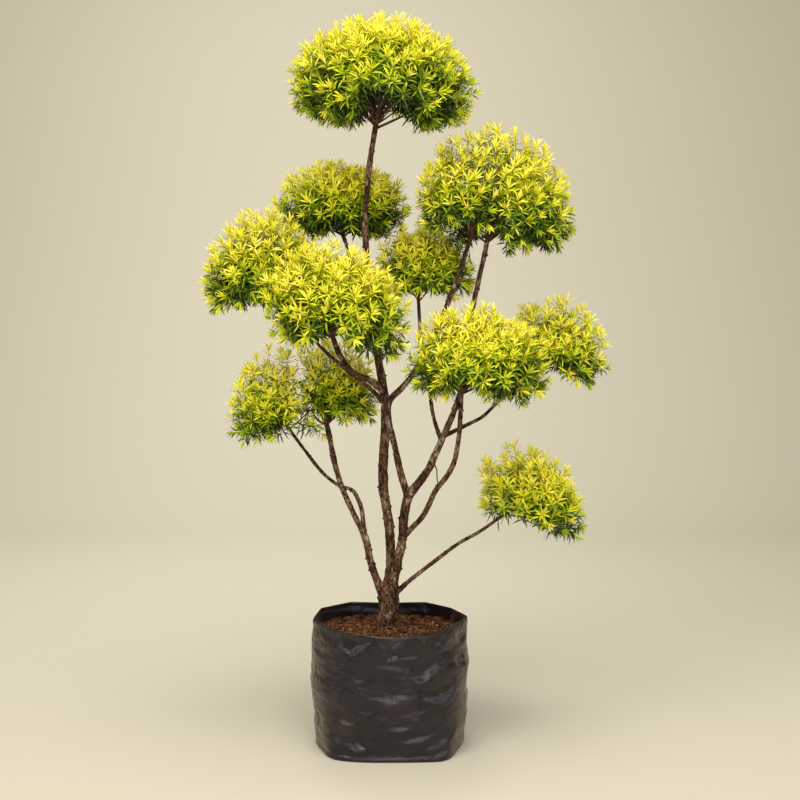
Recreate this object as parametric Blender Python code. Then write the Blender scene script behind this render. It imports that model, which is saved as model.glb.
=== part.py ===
"""Cloud-pruned golden topiary in a black nursery grow bag, as separate solids.

A slim trunk rises from the soil as a leader, with bare tapering boughs that each carry one
clipped, dome-shaped mass of narrow leaves.  Metres, +Z up.  The origin is the middle of the bag's
flat underside; X runs along the bag's wide front, and -Y is the front.
"""

import math

import bmesh
import bpy
import numpy as np
from mathutils import Vector

# ---- driving dimensions (metres) ---------------------------------------------------------------
GAP = 0.0003  # clearance between pieces that touch
BAG_HEIGHT = 0.257
BAG_FILM = 0.0010  # wall of the bag, thicker than the real film so that it is a solid
BAG_FOOT = 0.004  # height of the turned-in edge round the flat underside
# The film stands in flat facets between folds.  Corners (x, y) of its plan, from +X towards +Y, at
# the rim and at the floor; each rim corner is joined to the floor corner in the same place.
BAG_RIM = (
    (0.158, 0.022), (0.128, 0.092), (0.074, 0.141), (-0.007, 0.150), (-0.086, 0.143),
    (-0.150, 0.091), (-0.1595, 0.002), (-0.100, -0.100), (-0.063, -0.130), (0.003, -0.150),
    (0.058, -0.131), (0.108, -0.085),
)
BAG_BASE = (
    (0.1535, 0.003), (0.145, 0.070), (0.112, 0.122), (-0.002, 0.130), (-0.108, 0.122),
    (-0.148, 0.070), (-0.157, -0.010), (-0.119, -0.118), (-0.058, -0.131), (0.003, -0.132),
    (0.062, -0.130), (0.116, -0.125),
)
BAG_PANELS = 3  # flat panels along each facet
BAG_SIDES = BAG_PANELS * len(BAG_RIM)
BAG_ROUNDNESS = 0.155  # radius of the curve that the soil presses the facets to, halfway up
BAG_BULGE = 0.02  # how much wider the bag is halfway up, as a share
SOIL_EDGE = 0.230  # level of the soil against the film
SOIL_CROWN = 0.2345  # level of the flat patch that the trunk stands on
SOIL_CROWN_SHARE = 0.34  # the flat patch's share of the bag's width
WALL_LEVELS = (0.5 * BAG_HEIGHT, SOIL_EDGE)  # where bag and soil both have a ring
LIMB_SIDES = 8
TRUNK_SIDES = 12
STEM_SIDES = 6
TWIG_SIDES = 3
RING_STEP = 0.034  # distance between a limb's rings
TRUNK_RING_STEP = 0.045

# A leaf here stands for a spray: larger than life, and fewer.
LEAF_HALF_WIDTH_SHARE = 0.105  # of the leaf's length
LEAF_HALF_THICKNESS_SHARE = 0.016
LEAF_WIDEST_AT = 0.42  # share of the length
LEAF_SHORTEST = 0.026
LEAF_LONGEST = 0.085
LEAVES_PER_SHOOT = 3
LEAF_SPLAY = math.radians(33)  # a leaf's usual lean away from its shoot
LEAF_SPLAY_RANGE = (0.55, 1.15)  # least and greatest lean, as shares of that
LEAF_REACH_RANGE = (0.90, 1.00)  # how far a leaf goes towards the outline of its mass
LEAF_DROOP = 0.9  # how much the lowest shoots' leaves hang
LEAF_DROOP_FROM = 0.25  # height of a shoot's direction under which they do
LEAF_SINK = 0.10  # how far a leaf's root lies inside the core, as a share of the core
LEAF_ROOT_LIFT = 0.004  # least height of a root above the core's underside
LEAF_TEST_SHARES = (0.45, 0.6, 0.8, 1.0)  # where along a leaf its clearance is tested
SHOOTS_PER_AREA = 900  # shoots for each square metre of a mass's plan (radius by radius)
SHOOT_LOWEST = math.radians(126)  # angle from straight up of the lowest shoot
LIMB_CLEARANCE = 0.003  # least room between a leaf or twig and the bark of a limb

CORE_SHARE = 0.80  # the fused core's reach as a share of the whole mass's
CORE_LIFT = 0.027  # height of the core's hollow underside above the bough's tip
RIM_LIFT = 0.013  # height of the core's lower rim above the lowest leaf tips
ARCH_WIDTH = 0.8  # exponent: the lower it is, the narrower the arches in front and behind
BOUGH_ROOM = (0.045, 0.010)  # this near a limb's end (across), the rim rises this far above it
CORE_LUMP = 0.06  # depth of the core's lumps, as a share of its reach
CORE_LOWEST = math.radians(118)  # angle from straight up of the core's lowest ring
CORE_RINGS = 6
CORE_SIDES = 12
CORE_NEIGHBOUR_ROOM = 1.08  # a point this much further out must still be in the mass's own space
CORE_DRAW_IN = 0.94  # each step by which a point is drawn in until it is
CORE_DRAWS = 40  # most steps
WIDEST_LEVEL = 0.36  # where a mass is widest, as a share of its height
LOWER_SQUARENESS = 2.8  # exponent of a mass's lower half: 2 is an ellipse, more is fuller
SPACE_MARGIN = 0.03  # kept free between neighbouring masses, in shares of their reach
TWIGS_PER_MASS = 6
TWIG_RISE = 0.010  # distance of the fork from the bough's tip
TWIG_POLAR = math.radians(68)  # lean of the outermost twig
TWIG_INNER_SHARE = 0.35  # lean of the innermost twig, as a share of that
TWIG_REACH = 0.40  # how far a twig goes towards the outline of its mass
TWIG_LIFT = 0.016  # least height of a twig's end above the core's underside
TWIG_SAG = 0.004  # how far a twig's middle hangs under the straight line
TWIG_SINK = 0.005  # how far below the fork's point a twig starts, inside the stem
STEM_SHARE = 0.96  # radius of the stem as a share of the bough's tip
GOLDEN_ANGLE = math.pi * (3.0 - math.sqrt(5.0))  # turn from one shoot or twig to the next
UNION_SOLVER = "MANIFOLD"  # joins the many thin leaves of a mass in seconds

# ---- limbs: parent, then stations (x, y, z, radius) from the parent's axis to the tip ----------
LIMBS = {
    "trunk": (None, [
        (-0.0090, 0.000, SOIL_CROWN + GAP, 0.0160), (-0.0072, 0.000, 0.258, 0.0184),
        (-0.0052, 0.000, 0.285, 0.0206), (-0.0040, 0.002, 0.310, 0.0216),
        (-0.0015, 0.004, 0.330, 0.0165), (0.0003, 0.006, 0.350, 0.0122),
        (0.0010, 0.009, 0.376, 0.0108), (0.0004, 0.011, 0.408, 0.0103),
        (-0.0030, 0.012, 0.440, 0.0101), (-0.0085, 0.012, 0.480, 0.0099),
        (-0.0143, 0.011, 0.522, 0.0097), (-0.0145, 0.010, 0.580, 0.0096),
        (-0.0100, 0.006, 0.690, 0.0096), (-0.0250, 0.002, 0.791, 0.0087),
        (-0.0400, 0.000, 0.907, 0.0073), (-0.0495, 0.000, 1.026, 0.0065),
        (-0.0487, 0.000, 1.093, 0.0062), (-0.0428, 0.000, 1.160, 0.0058),
        (-0.0295, 0.000, 1.247, 0.0055),
    ]),
    "bough_left": ("trunk", [
        (-0.0130, 0.000, 0.300, 0.0082), (-0.0285, -0.005, 0.340, 0.0076),
        (-0.0412, -0.008, 0.380, 0.0075), (-0.0532, -0.005, 0.431, 0.0070),
        (-0.0760, 0.001, 0.477, 0.0061), (-0.1010, 0.010, 0.534, 0.0058),
        (-0.1310, 0.060, 0.647, 0.0057),
    ]),
    "bough_left_outer": ("bough_left", [
        (-0.0530, -0.004, 0.438, 0.0051), (-0.0635, 0.010, 0.496, 0.0045),
        (-0.0775, 0.020, 0.519, 0.0042), (-0.1050, 0.032, 0.527, 0.0040),
        (-0.1265, 0.036, 0.542, 0.0038), (-0.1805, 0.047, 0.604, 0.0037),
        (-0.2105, 0.052, 0.645, 0.0037),
    ]),
    "bough_middle": ("trunk", [
        (0.0000, -0.002, 0.297, 0.0098), (0.0080, -0.014, 0.350, 0.0097),
        (0.0238, -0.022, 0.424, 0.0097), (0.0290, -0.022, 0.485, 0.0096),
        (0.0360, -0.021, 0.515, 0.0094), (0.0530, -0.017, 0.537, 0.0086),
        (0.0710, -0.012, 0.560, 0.0080), (0.1025, 0.000, 0.623, 0.0071),
        (0.1340, 0.014, 0.699, 0.0062), (0.1650, 0.028, 0.885, 0.0053),
        (0.1935, 0.034, 1.021, 0.0050),
    ]),
    "bough_crossing": ("bough_middle", [
        (0.0355, -0.021, 0.513, 0.0080), (0.0230, -0.020, 0.551, 0.0072),
        (0.0110, -0.019, 0.605, 0.0067), (-0.0045, -0.018, 0.680, 0.0066),
        (-0.0020, -0.017, 0.705, 0.0066), (0.0210, -0.014, 0.731, 0.0064),
        (0.0450, -0.010, 0.760, 0.0060), (0.0905, 0.004, 0.843, 0.0053),
        (0.1215, 0.002, 0.919, 0.0050), (0.1595, -0.004, 1.030, 0.0047),
    ]),
    "bough_centre_back": ("bough_middle", [
        (0.1025, 0.000, 0.623, 0.0046), (0.0875, 0.022, 0.668, 0.0042),
        (0.0780, 0.045, 0.733, 0.0040), (0.0615, 0.078, 0.835, 0.0039),
        (0.0568, 0.090, 0.904, 0.0039),
    ]),
    "bough_right_back": ("bough_middle", [
        (0.1070, 0.002, 0.633, 0.0046), (0.1610, 0.020, 0.657, 0.0041),
        (0.1840, 0.029, 0.6675, 0.0038), (0.2105, 0.040, 0.6900, 0.0037),
        (0.2350, 0.050, 0.714, 0.0037), (0.3220, 0.072, 0.771, 0.0036),
    ]),
    "bough_right_front": ("bough_middle", [
        (0.0245, -0.022, 0.431, 0.0064), (0.0675, -0.046, 0.483, 0.0057),
        (0.0885, -0.062, 0.530, 0.0055), (0.1215, -0.080, 0.582, 0.0053),
        (0.1342, -0.092, 0.645, 0.0051), (0.1378, -0.105, 0.727, 0.0050),
    ]),
    "bough_low_right": ("trunk", [
        (0.0040, 0.003, 0.305, 0.0055), (0.0355, -0.002, 0.335, 0.0045),
        (0.0894, -0.012, 0.380, 0.0041), (0.1415, -0.019, 0.4205, 0.0039),
        (0.1720, -0.023, 0.438, 0.0037), (0.2255, -0.030, 0.4775, 0.0036),
    ]),
    "bough_front_left": ("trunk", [
        (-0.0120, 0.003, 0.722, 0.0064), (-0.0330, -0.015, 0.743, 0.0061),
        (-0.0725, -0.050, 0.7655, 0.0059), (-0.1000, -0.082, 0.806, 0.0056),
        (-0.1110, -0.100, 0.839, 0.0053),
    ]),
    "bough_far_left": ("trunk", [
        (-0.0090, 0.007, 0.694, 0.0046), (-0.0250, 0.006, 0.713, 0.0043),
        (-0.0905, -0.012, 0.771, 0.0038), (-0.1415, -0.004, 0.8155, 0.0036),
        (-0.2010, 0.022, 0.890, 0.0034),
    ]),
    "bough_back_left": ("trunk", [
        (-0.0335, 0.001, 0.847, 0.0054), (-0.0480, 0.018, 0.883, 0.0050),
        (-0.0900, 0.108, 1.013, 0.0046), (-0.0975, 0.116, 1.033, 0.0044),
    ]),
}

# ---- masses: limb that carries it, centre (x, y), lowest and highest level, radii, lean ---------
# lean is how far the dome drops for each metre towards +X.
MASSES = {
    "foliage_top": ("trunk", (-0.015, 0.005), (1.238, 1.466), (0.191, 0.168), 0.05),
    "foliage_upper_right": ("bough_middle", (0.2290, 0.048), (0.973, 1.258), (0.148, 0.128), 0.08),
    "foliage_upper_front": ("bough_crossing", (0.137, -0.020), (1.018, 1.238), (0.088, 0.098), 0.0),
    "foliage_back_left": ("bough_back_left", (-0.101, 0.135), (1.022, 1.195), (0.150, 0.120), 0.02),
    "foliage_far_left": ("bough_far_left", (-0.256, 0.055), (0.866, 1.096), (0.133, 0.112), -0.07),
    "foliage_front_left": (
        "bough_front_left",
        (-0.100, -0.137),
        (0.794, 1.029),
        (0.151, 0.120),
        0.21,
    ),
    "foliage_centre_back": (
        "bough_centre_back",
        (0.071, 0.102),
        (0.894, 1.080),
        (0.118, 0.092),
        0.0,
    ),
    "foliage_right_front": (
        "bough_right_front",
        (0.170, -0.124),
        (0.706, 0.907),
        (0.150, 0.118),
        0.09,
    ),
    "foliage_far_right": ("bough_right_back", (0.338, 0.085), (0.707, 0.922), (0.119, 0.094), 0.03),
    "foliage_lower_left_outer": (
        "bough_left_outer",
        (-0.232, 0.062),
        (0.588, 0.814),
        (0.108, 0.090),
        0.04,
    ),
    "foliage_lower_left": ("bough_left", (-0.119, 0.090), (0.628, 0.837), (0.109, 0.088), 0.0),
    "foliage_low_right": ("bough_low_right", (0.284, -0.020), (0.422, 0.620), (0.119, 0.102), 0.27),
}

# name: base colour, roughness, metallic
MATERIALS = {
    "grow_bag_film": ((0.030, 0.027, 0.028), 0.42, 0.0),
    "potting_soil": ((0.110, 0.046, 0.025), 0.95, 0.0),
    "bark": ((0.135, 0.080, 0.050), 0.85, 0.0),
    "golden_leaf": ((0.560, 0.610, 0.045), 0.55, 0.0),
}


def material(name):
    """A Principled material of this name from MATERIALS, made once."""
    made = bpy.data.materials.get(name)
    if made is None:
        colour, roughness, metallic = MATERIALS[name]
        made = bpy.data.materials.new(name)
        made.use_nodes = True
        shader = made.node_tree.nodes["Principled BSDF"]
        shader.inputs["Base Color"].default_value = (*colour, 1.0)
        shader.inputs["Roughness"].default_value = roughness
        shader.inputs["Metallic"].default_value = metallic
        made.diffuse_color = (*colour, 1.0)
    return made


def add_object(name, points, faces, surface, collection=None, place=(0.0, 0.0, 0.0)):
    """A mesh object whose world points are given; its own origin sits at place."""
    place = Vector(place)
    mesh = bpy.data.meshes.new(name)
    mesh.from_pydata([tuple(Vector(p) - place) for p in points], [], faces)
    mesh.materials.append(material(surface))
    mesh.update()
    made = bpy.data.objects.new(name, mesh)
    made.location = place
    (collection or bpy.context.scene.collection).objects.link(made)
    return made


def hide_as_cutter(made):
    """Keeps a Boolean's tool out of the model."""
    made.hide_render = True
    made.display_type = "WIRE"


# ---- limbs --------------------------------------------------------------------------------------
def smooth_path(stations, step):
    """Points (x, y, z, radius) about step apart on the cubic curve through the stations.

    The curve is Hermite over chord length, with each station's slope taken from its neighbours.
    """
    stations = np.array(stations, float)
    chord = np.linalg.norm(np.diff(stations[:, :3], axis=0), axis=1)
    at = np.concatenate(([0.0], np.cumsum(chord)))
    slope = np.gradient(stations, at, axis=0)
    path = []
    for i, length in enumerate(chord):
        count = max(1, round(length / step))
        for t in np.arange(count) / count:
            blend = (2 * t**3 - 3 * t**2 + 1, t**3 - 2 * t**2 + t, 3 * t**2 - 2 * t**3, t**3 - t**2)
            path.append(
                blend[0] * stations[i]
                + blend[1] * length * slope[i]
                + blend[2] * stations[i + 1]
                + blend[3] * length * slope[i + 1]
            )
    path.append(stations[-1])
    return np.array(path)


def tube(path, sides, extra=0.0):
    """Points and faces of a closed tube round the path, its radius grown by extra.

    Each ring is square to the path, and the rings don't twist: a ring's first direction is the last
    one's, turned only as far as the path turns.
    """
    centres = [Vector(p[:3]) for p in path]
    points, faces = [], []
    across = Vector((1.0, 0.0, 0.0))
    for i, centre in enumerate(centres):
        ahead = centres[min(i + 1, len(centres) - 1)] - centres[max(i - 1, 0)]
        ahead.normalize()
        across = (across - ahead * across.dot(ahead)).normalized()
        side = ahead.cross(across)
        radius = float(path[i][3]) + extra
        for k in range(sides):
            turn = 2 * math.pi * k / sides
            points.append(centre + radius * (math.cos(turn) * across + math.sin(turn) * side))
    for i in range(len(centres) - 1):
        low, high = i * sides, (i + 1) * sides
        for k in range(sides):
            after = (k + 1) % sides
            faces.append((low + k, low + after, high + after, high + k))
    faces.append(tuple(reversed(range(sides))))
    last = (len(centres) - 1) * sides
    faces.append(tuple(last + k for k in range(sides)))
    return points, faces


def limb_path(name):
    """The smooth path of a limb; the trunk's ground cut stays level because it starts upright."""
    step = TRUNK_RING_STEP if name == "trunk" else RING_STEP
    return smooth_path(LIMBS[name][1], step)


def level_first_ring(points, sides, level):
    """Sets the first ring of a tube onto one level, for a flat cut."""
    for k in range(sides):
        points[k].z = level


def build_limb(name):
    """One tapering limb, cut back from the limb that it grows out of."""
    parent, stations = LIMBS[name]
    sides = TRUNK_SIDES if name == "trunk" else LIMB_SIDES
    points, faces = tube(PATHS[name], sides)
    if name == "trunk":
        level_first_ring(points, sides, stations[0][2])
    limb = add_object(name, points, faces, "bark", place=stations[0][:3])
    limb.parent = ROOT
    if parent:
        cutter = bpy.data.objects.get(parent + "_cutter") or build_cutter(parent)
        cut = limb.modifiers.new("clear_of_" + parent, "BOOLEAN")
        cut.operation = "DIFFERENCE"
        cut.object = cutter


def build_cutter(name):
    """The limb's own tube, grown by the gap, as the tool that its side boughs are cut with."""
    sides = TRUNK_SIDES if name == "trunk" else LIMB_SIDES
    points, faces = tube(PATHS[name], sides, GAP)
    cutter = add_object(name + "_cutter", points, faces, "bark")
    hide_as_cutter(cutter)
    return cutter


def distance_to_limbs(point, but=()):
    """How far a point is from the nearest limb's bark."""
    nearest = math.inf
    for name, path in PATHS.items():
        if name in but:
            continue
        a, b = path[:-1], path[1:]
        along = b[:, :3] - a[:, :3]
        share = ((point - a[:, :3]) * along).sum(1) / (along**2).sum(1)
        share = np.clip(share, 0.0, 1.0)[:, None]
        close = a + share * (b - a)
        gap = np.linalg.norm(point - close[:, :3], axis=1) - close[:, 3]
        nearest = min(nearest, gap.min())
    return nearest


# ---- foliage ------------------------------------------------------------------------------------
def scatter(index, channel):
    """A fixed number from 0 to 1 that looks random, for the index and the channel."""
    value = math.sin(index * 12.9898 + channel * 78.233) * 43758.5453
    return value - math.floor(value)


def between(limits, index, channel):
    """A scattered number between two limits."""
    return limits[0] + (limits[1] - limits[0]) * scatter(index, channel)


class Mass:
    """The space of one mass of foliage: a half ellipsoid over a fuller lower half, leaning a little."""

    def __init__(self, name, number):
        self.name, self.number = name, number
        self.limb, (x, y), (self.low, self.high), (self.rx, self.ry), self.lean = MASSES[name]
        self.centre = Vector((x, y, self.low + WIDEST_LEVEL * (self.high - self.low)))
        path = PATHS[self.limb]
        self.tip = Vector(path[-1][:3])
        self.tip_radius = float(path[-1][3])
        self.tip_way = (self.tip - Vector(path[-2][:3])).normalized()
        self.fork = self.tip + self.tip_way * TWIG_RISE
        self.limb_ends = [p for limb in PATHS.values() for p in limb[-8:] if self.covers(limb[-1])]

    def covers(self, tip):
        """True where a limb's tip lies under or in this mass."""
        out = math.hypot(tip[0] - self.centre.x, tip[1] - self.centre.y)
        return out < self.rx and abs(tip[2] - self.low) < self.rx

    def reach_at(self, point):
        """0 at the centre, 1 on the outline of the space."""
        off = Vector(point) - self.centre
        rise = off.z + self.lean * off.x
        level = math.hypot(off.x / self.rx, off.y / self.ry)
        if rise > 0:
            return math.hypot(level, rise / (self.high - self.centre.z))
        drop = -rise / (self.centre.z - self.low)
        return (level**LOWER_SQUARENESS + drop**LOWER_SQUARENESS) ** (1 / LOWER_SQUARENESS)

    def holds(self, point):
        """True where the point is in this mass's space and not in a neighbour's."""
        own = self.reach_at(point)
        others = (m.reach_at(point) for m in SPACES.values() if m is not self)
        return own <= 1.001 and all(own < other - SPACE_MARGIN for other in others)

    def floor_at(self, point):
        """The level of the core's underside, clear of limbs.

        It is a hollow over the fork that falls to a rim at the sides; in front and behind it stays
        as high as over the fork, so that the fork and its twigs show under an arch.
        """
        out = math.hypot(point.x - self.tip.x, point.y - self.tip.y)
        share = min(1.0, out / (CORE_SHARE * min(self.rx, self.ry)))
        sideways = abs(point.x - self.tip.x) / max(out, GAP)
        middle, rim = self.tip.z + CORE_LIFT, self.low + RIM_LIFT
        level = middle + (rim - middle) * share**2 * sideways**ARCH_WIDTH
        near, over = BOUGH_ROOM
        for x, y, z, radius in self.limb_ends:
            if math.hypot(point.x - x, point.y - y) < near:
                level = max(level, z + radius + over)
        return level

    def way(self, polar, turn):
        """A direction from the centre by its angle from straight up and its turn round Z."""
        return Vector(
            (math.sin(polar) * math.cos(turn), math.sin(polar) * math.sin(turn), math.cos(polar))
        )

    def outline(self, start, way, share=1.0):
        """How far from start along way this mass's share of the space goes."""
        near, far = 0.0, 2 * max(self.rx, self.ry)
        for _ in range(24):
            middle = (near + far) / 2
            if self.reach_at(start + way * middle) < share:
                near = middle
            else:
                far = middle
        return near


def core_point(space, polar, turn):
    """A point of the lumpy dome inside a mass, drawn in where a neighbour is near."""
    way = space.way(polar, turn)
    lump = 1 + CORE_LUMP * math.sin(3 * turn + space.number) * math.sin(2.7 * polar)
    point = space.centre + way * space.outline(space.centre, way, CORE_SHARE * lump)
    for _ in range(CORE_DRAWS):
        lifted = Vector((point.x, point.y, max(point.z, space.floor_at(point))))
        if space.holds(space.centre + (lifted - space.centre) * CORE_NEIGHBOUR_ROOM):
            break
        point = space.centre + (point - space.centre) * CORE_DRAW_IN
    return lifted


def build_core(space):
    """The closed dome that the leaves of a clipped mass stand out of, hollow underneath."""
    points = [core_point(space, 0.0, 0.0)]
    for i in range(1, CORE_RINGS + 1):
        polar = CORE_LOWEST * i / CORE_RINGS
        for k in range(CORE_SIDES):
            points.append(core_point(space, polar, 2 * math.pi * (k + 0.5 * (i % 2)) / CORE_SIDES))
    faces = [(0, 1 + k, 1 + (k + 1) % CORE_SIDES) for k in range(CORE_SIDES)]
    for i in range(CORE_RINGS - 1):
        inner, outer = 1 + i * CORE_SIDES, 1 + (i + 1) * CORE_SIDES
        for k in range(CORE_SIDES):
            after = (k + 1) % CORE_SIDES
            if i % 2 == 0:
                faces.append((inner + k, outer + k, outer + after))
                faces.append((inner + k, outer + after, inner + after))
            else:
                faces.append((inner + k, outer + k, inner + after))
                faces.append((inner + after, outer + k, outer + after))
    last = 1 + (CORE_RINGS - 1) * CORE_SIDES
    under = space.tip.copy()
    under.z = space.floor_at(space.tip)
    points.append(under)
    for k in range(CORE_SIDES):
        faces.append((last + (k + 1) % CORE_SIDES, last + k, len(points) - 1))
    return points, faces


def leaf(base, way, flat, length):
    """A long pointed blade of 8 faces from base along way, lying square to flat."""
    across = way.cross(flat).normalized() * length * LEAF_HALF_WIDTH_SHARE
    up = across.cross(way).normalized() * length * LEAF_HALF_THICKNESS_SHARE
    middle = base + way * length * LEAF_WIDEST_AT
    points = [base, middle + across, middle + up, middle - across, middle - up, base + way * length]
    faces = []
    for k in range(4):
        a, b = 1 + k, 1 + (k + 1) % 4
        faces.append((0, a, b))
        faces.append((5, b, a))
    return points, faces


def shoot_leaves(space, number, count):
    """The leaves of one shoot, those that fit: they fan out from a point inside the core."""
    spread = (number + 0.5) / count
    polar = math.acos(1 - (1 - math.cos(SHOOT_LOWEST)) * spread)
    turn = number * GOLDEN_ANGLE + space.number
    way = space.way(polar, turn)
    root = core_point(space, polar, turn)
    root = root.lerp(space.centre, LEAF_SINK)
    root.z = max(root.z, space.floor_at(root) + LEAF_ROOT_LIFT)
    across = way.orthogonal().normalized()
    side = way.cross(across)
    leaves = []
    for k in range(LEAVES_PER_SHOOT):
        roll = 2 * math.pi * (k + scatter(number, space.number)) / LEAVES_PER_SHOOT
        leaf_number = number * LEAVES_PER_SHOOT + k
        splay = LEAF_SPLAY * between(LEAF_SPLAY_RANGE, leaf_number, 3)
        lean = math.cos(roll) * across + math.sin(roll) * side
        blade = way * math.cos(splay) + lean * math.sin(splay)
        blade.z -= LEAF_DROOP * max(0.0, LEAF_DROOP_FROM - way.z)
        blade.normalize()
        length = space.outline(root, blade) * between(LEAF_REACH_RANGE, leaf_number, 1)
        length = min(length, LEAF_LONGEST)
        marks = [root + blade * length * share for share in LEAF_TEST_SHARES]
        if length < LEAF_SHORTEST or not all(space.holds(mark) for mark in marks):
            continue
        room = LIMB_CLEARANCE + LEAF_HALF_WIDTH_SHARE * length
        if min(distance_to_limbs(np.array(mark)) for mark in marks) < room:
            continue
        leaves.append(leaf(root, blade, lean, length))
    return leaves


def twig_paths(space):
    """The mass's stem, 0.3 mm clear of the bough's tip, and the twigs that fork from its top."""
    foot = space.tip + space.tip_way * GAP
    thick = space.tip_radius * STEM_SHARE
    paths = [np.array([(*foot, thick), (*space.fork, 0.9 * thick)])]
    start = space.fork - space.tip_way * TWIG_SINK
    for i in range(TWIGS_PER_MASS):
        spread = (i + 0.5) / TWIGS_PER_MASS
        polar = TWIG_POLAR * (TWIG_INNER_SHARE + (1 - TWIG_INNER_SHARE) * spread)
        way = space.way(polar, i * GOLDEN_ANGLE + space.number)
        end = space.centre + way * space.outline(space.centre, way, TWIG_REACH)
        end.z = max(end.z, space.floor_at(end) + TWIG_LIFT)
        bend = space.fork.lerp(end, 0.45) - Vector((0.0, 0.0, TWIG_SAG))
        radius = thick * (0.6 - 0.2 * spread)
        room = min(distance_to_limbs(np.array(p), (space.limb,)) for p in (bend, end))
        if room > LIMB_CLEARANCE + radius:
            paths.append(np.array([(*start, radius), (*bend, 0.8 * radius), (*end, 0.6 * radius)]))
    top = space.fork.copy()
    top.z = max(space.centre.z, space.floor_at(top) + TWIG_LIFT)
    paths.append(np.array([(*start, 0.8 * thick), (*top, 0.6 * thick)]))
    return paths


def keep_largest_body(mesh):
    """Drops loose scraps and sealed hollows, which are bodies of their own, from a mesh."""
    shell = bmesh.new()
    shell.from_mesh(mesh)
    bodies, seen = [], set()
    for face in shell.faces:
        if face in seen:
            continue
        body, queue = [], [face]
        seen.add(face)
        while queue:
            here = queue.pop()
            body.append(here)
            for edge in here.edges:
                for beside in edge.link_faces:
                    if beside not in seen:
                        seen.add(beside)
                        queue.append(beside)
        bodies.append(body)
    bodies.sort(key=len, reverse=True)
    scraps = [face for body in bodies[1:] for face in body]
    bmesh.ops.delete(shell, geom=scraps, context="FACES")
    shell.to_mesh(mesh)
    shell.free()


def build_mass(space):
    """One mass of foliage: core, stem, twigs and leaves, joined by one union on a collection."""
    mass = add_object(space.name, *build_core(space), "golden_leaf", place=space.tip)
    mass.parent = ROOT
    joined = bpy.data.collections.new(space.name + "_pieces")
    bpy.context.scene.collection.children.link(joined)
    for i, path in enumerate(twig_paths(space)):
        sides = STEM_SIDES if i == 0 else TWIG_SIDES
        add_object("twig", *tube(path, sides), "golden_leaf", joined)
    count = round(SHOOTS_PER_AREA * space.rx * space.ry) + 2
    for number in range(count):
        for points, faces in shoot_leaves(space, number, count):
            add_object("leaf", points, faces, "golden_leaf", joined)
    union = mass.modifiers.new("join", "BOOLEAN")
    union.operation = "UNION"
    union.operand_type = "COLLECTION"
    union.collection = joined
    union.solver = UNION_SOLVER
    bpy.context.view_layer.update()
    graph = bpy.context.evaluated_depsgraph_get()
    fused = bpy.data.meshes.new_from_object(mass.evaluated_get(graph))
    mass.modifiers.remove(union)
    mass.data = fused
    keep_largest_body(fused)
    for piece in list(joined.objects):
        bpy.data.objects.remove(piece)
    bpy.data.collections.remove(joined)


# ---- bag and soil -------------------------------------------------------------------------------
def bag_outline(level):
    """Points (x, y) of the bag's plan at a level: facets that bulge most halfway up."""
    share = level / BAG_HEIGHT
    bulge = 4 * share * (1 - share)
    corners = [Vector(base).lerp(rim, share) for base, rim in zip(BAG_BASE, map(Vector, BAG_RIM))]
    outline = []
    for k, corner in enumerate(corners):
        edge = corners[(k + 1) % len(corners)] - corner
        outward = Vector((edge.y, -edge.x)).normalized()
        sagitta = edge.length_squared / (8 * BAG_ROUNDNESS)
        for i in range(BAG_PANELS):
            t = i / BAG_PANELS
            point = corner + t * edge + outward * sagitta * bulge * 4 * t * (1 - t)
            outline.append(point * (1 + BAG_BULGE * bulge))
    return outline


def bag_ring(level, inset=0.0):
    """One ring of the bag's wall at a level, moved in by inset square to the outline."""
    outline = bag_outline(level)
    ring = []
    for k, point in enumerate(outline):
        along = outline[(k + 1) % BAG_SIDES] - outline[k - 1]
        inward = Vector((-along.y, along.x)).normalized()
        moved = point + inward * inset
        ring.append(Vector((moved.x, moved.y, level)))
    return ring


def skin(rings):
    """Points and faces of a closed body through the rings, with its first and last ring filled.

    Every wall panel is split from its lower ring's k to its upper ring's k + 1, so that walls
    which face each other bend alike.
    """
    points = [p for ring in rings for p in ring]
    faces = [tuple(reversed(range(BAG_SIDES)))]
    for i in range(len(rings) - 1):
        first, second = i * BAG_SIDES, (i + 1) * BAG_SIDES
        rising = rings[i][0].z <= rings[i + 1][0].z
        for k in range(BAG_SIDES):
            after = (k + 1) % BAG_SIDES
            a, b, c, d = first + k, first + after, second + after, second + k
            faces += [(a, b, c), (a, c, d)] if rising else [(a, b, d), (b, c, d)]
    faces.append(tuple((len(rings) - 1) * BAG_SIDES + k for k in range(BAG_SIDES)))
    return points, faces


def build_bag():
    """The bag: flat underside, turned-in foot, folded-in corners and walls up to a thin open rim."""
    foot = bag_ring(0.0, BAG_FOOT)
    levels = [BAG_FOOT, *WALL_LEVELS, BAG_HEIGHT]
    outside = [foot] + [bag_ring(level) for level in levels]
    inside = [bag_ring(level, BAG_FILM) for level in reversed(levels)]
    floor = bag_ring(0.0, BAG_FOOT + BAG_FILM)
    for point in floor:
        point.z = BAG_FILM
    bag = add_object("grow_bag", *skin(outside + inside + [floor]), "grow_bag_film")
    bag.parent = ROOT


def build_soil():
    """The soil that fills the bag, 0.3 mm inside the film, rising a little to a flat crown."""
    inset = BAG_FILM + GAP
    base = bag_ring(0.0, BAG_FOOT + inset)
    for point in base:
        point.z = inset
    levels = [BAG_FOOT + GAP, *WALL_LEVELS]
    rings = [base] + [bag_ring(level, inset) for level in levels]
    crown = [
        Vector((p.x * SOIL_CROWN_SHARE, p.y * SOIL_CROWN_SHARE, SOIL_CROWN)) for p in rings[-1]
    ]
    soil = add_object("soil", *skin(rings + [crown]), "potting_soil")
    soil.parent = ROOT


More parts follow.
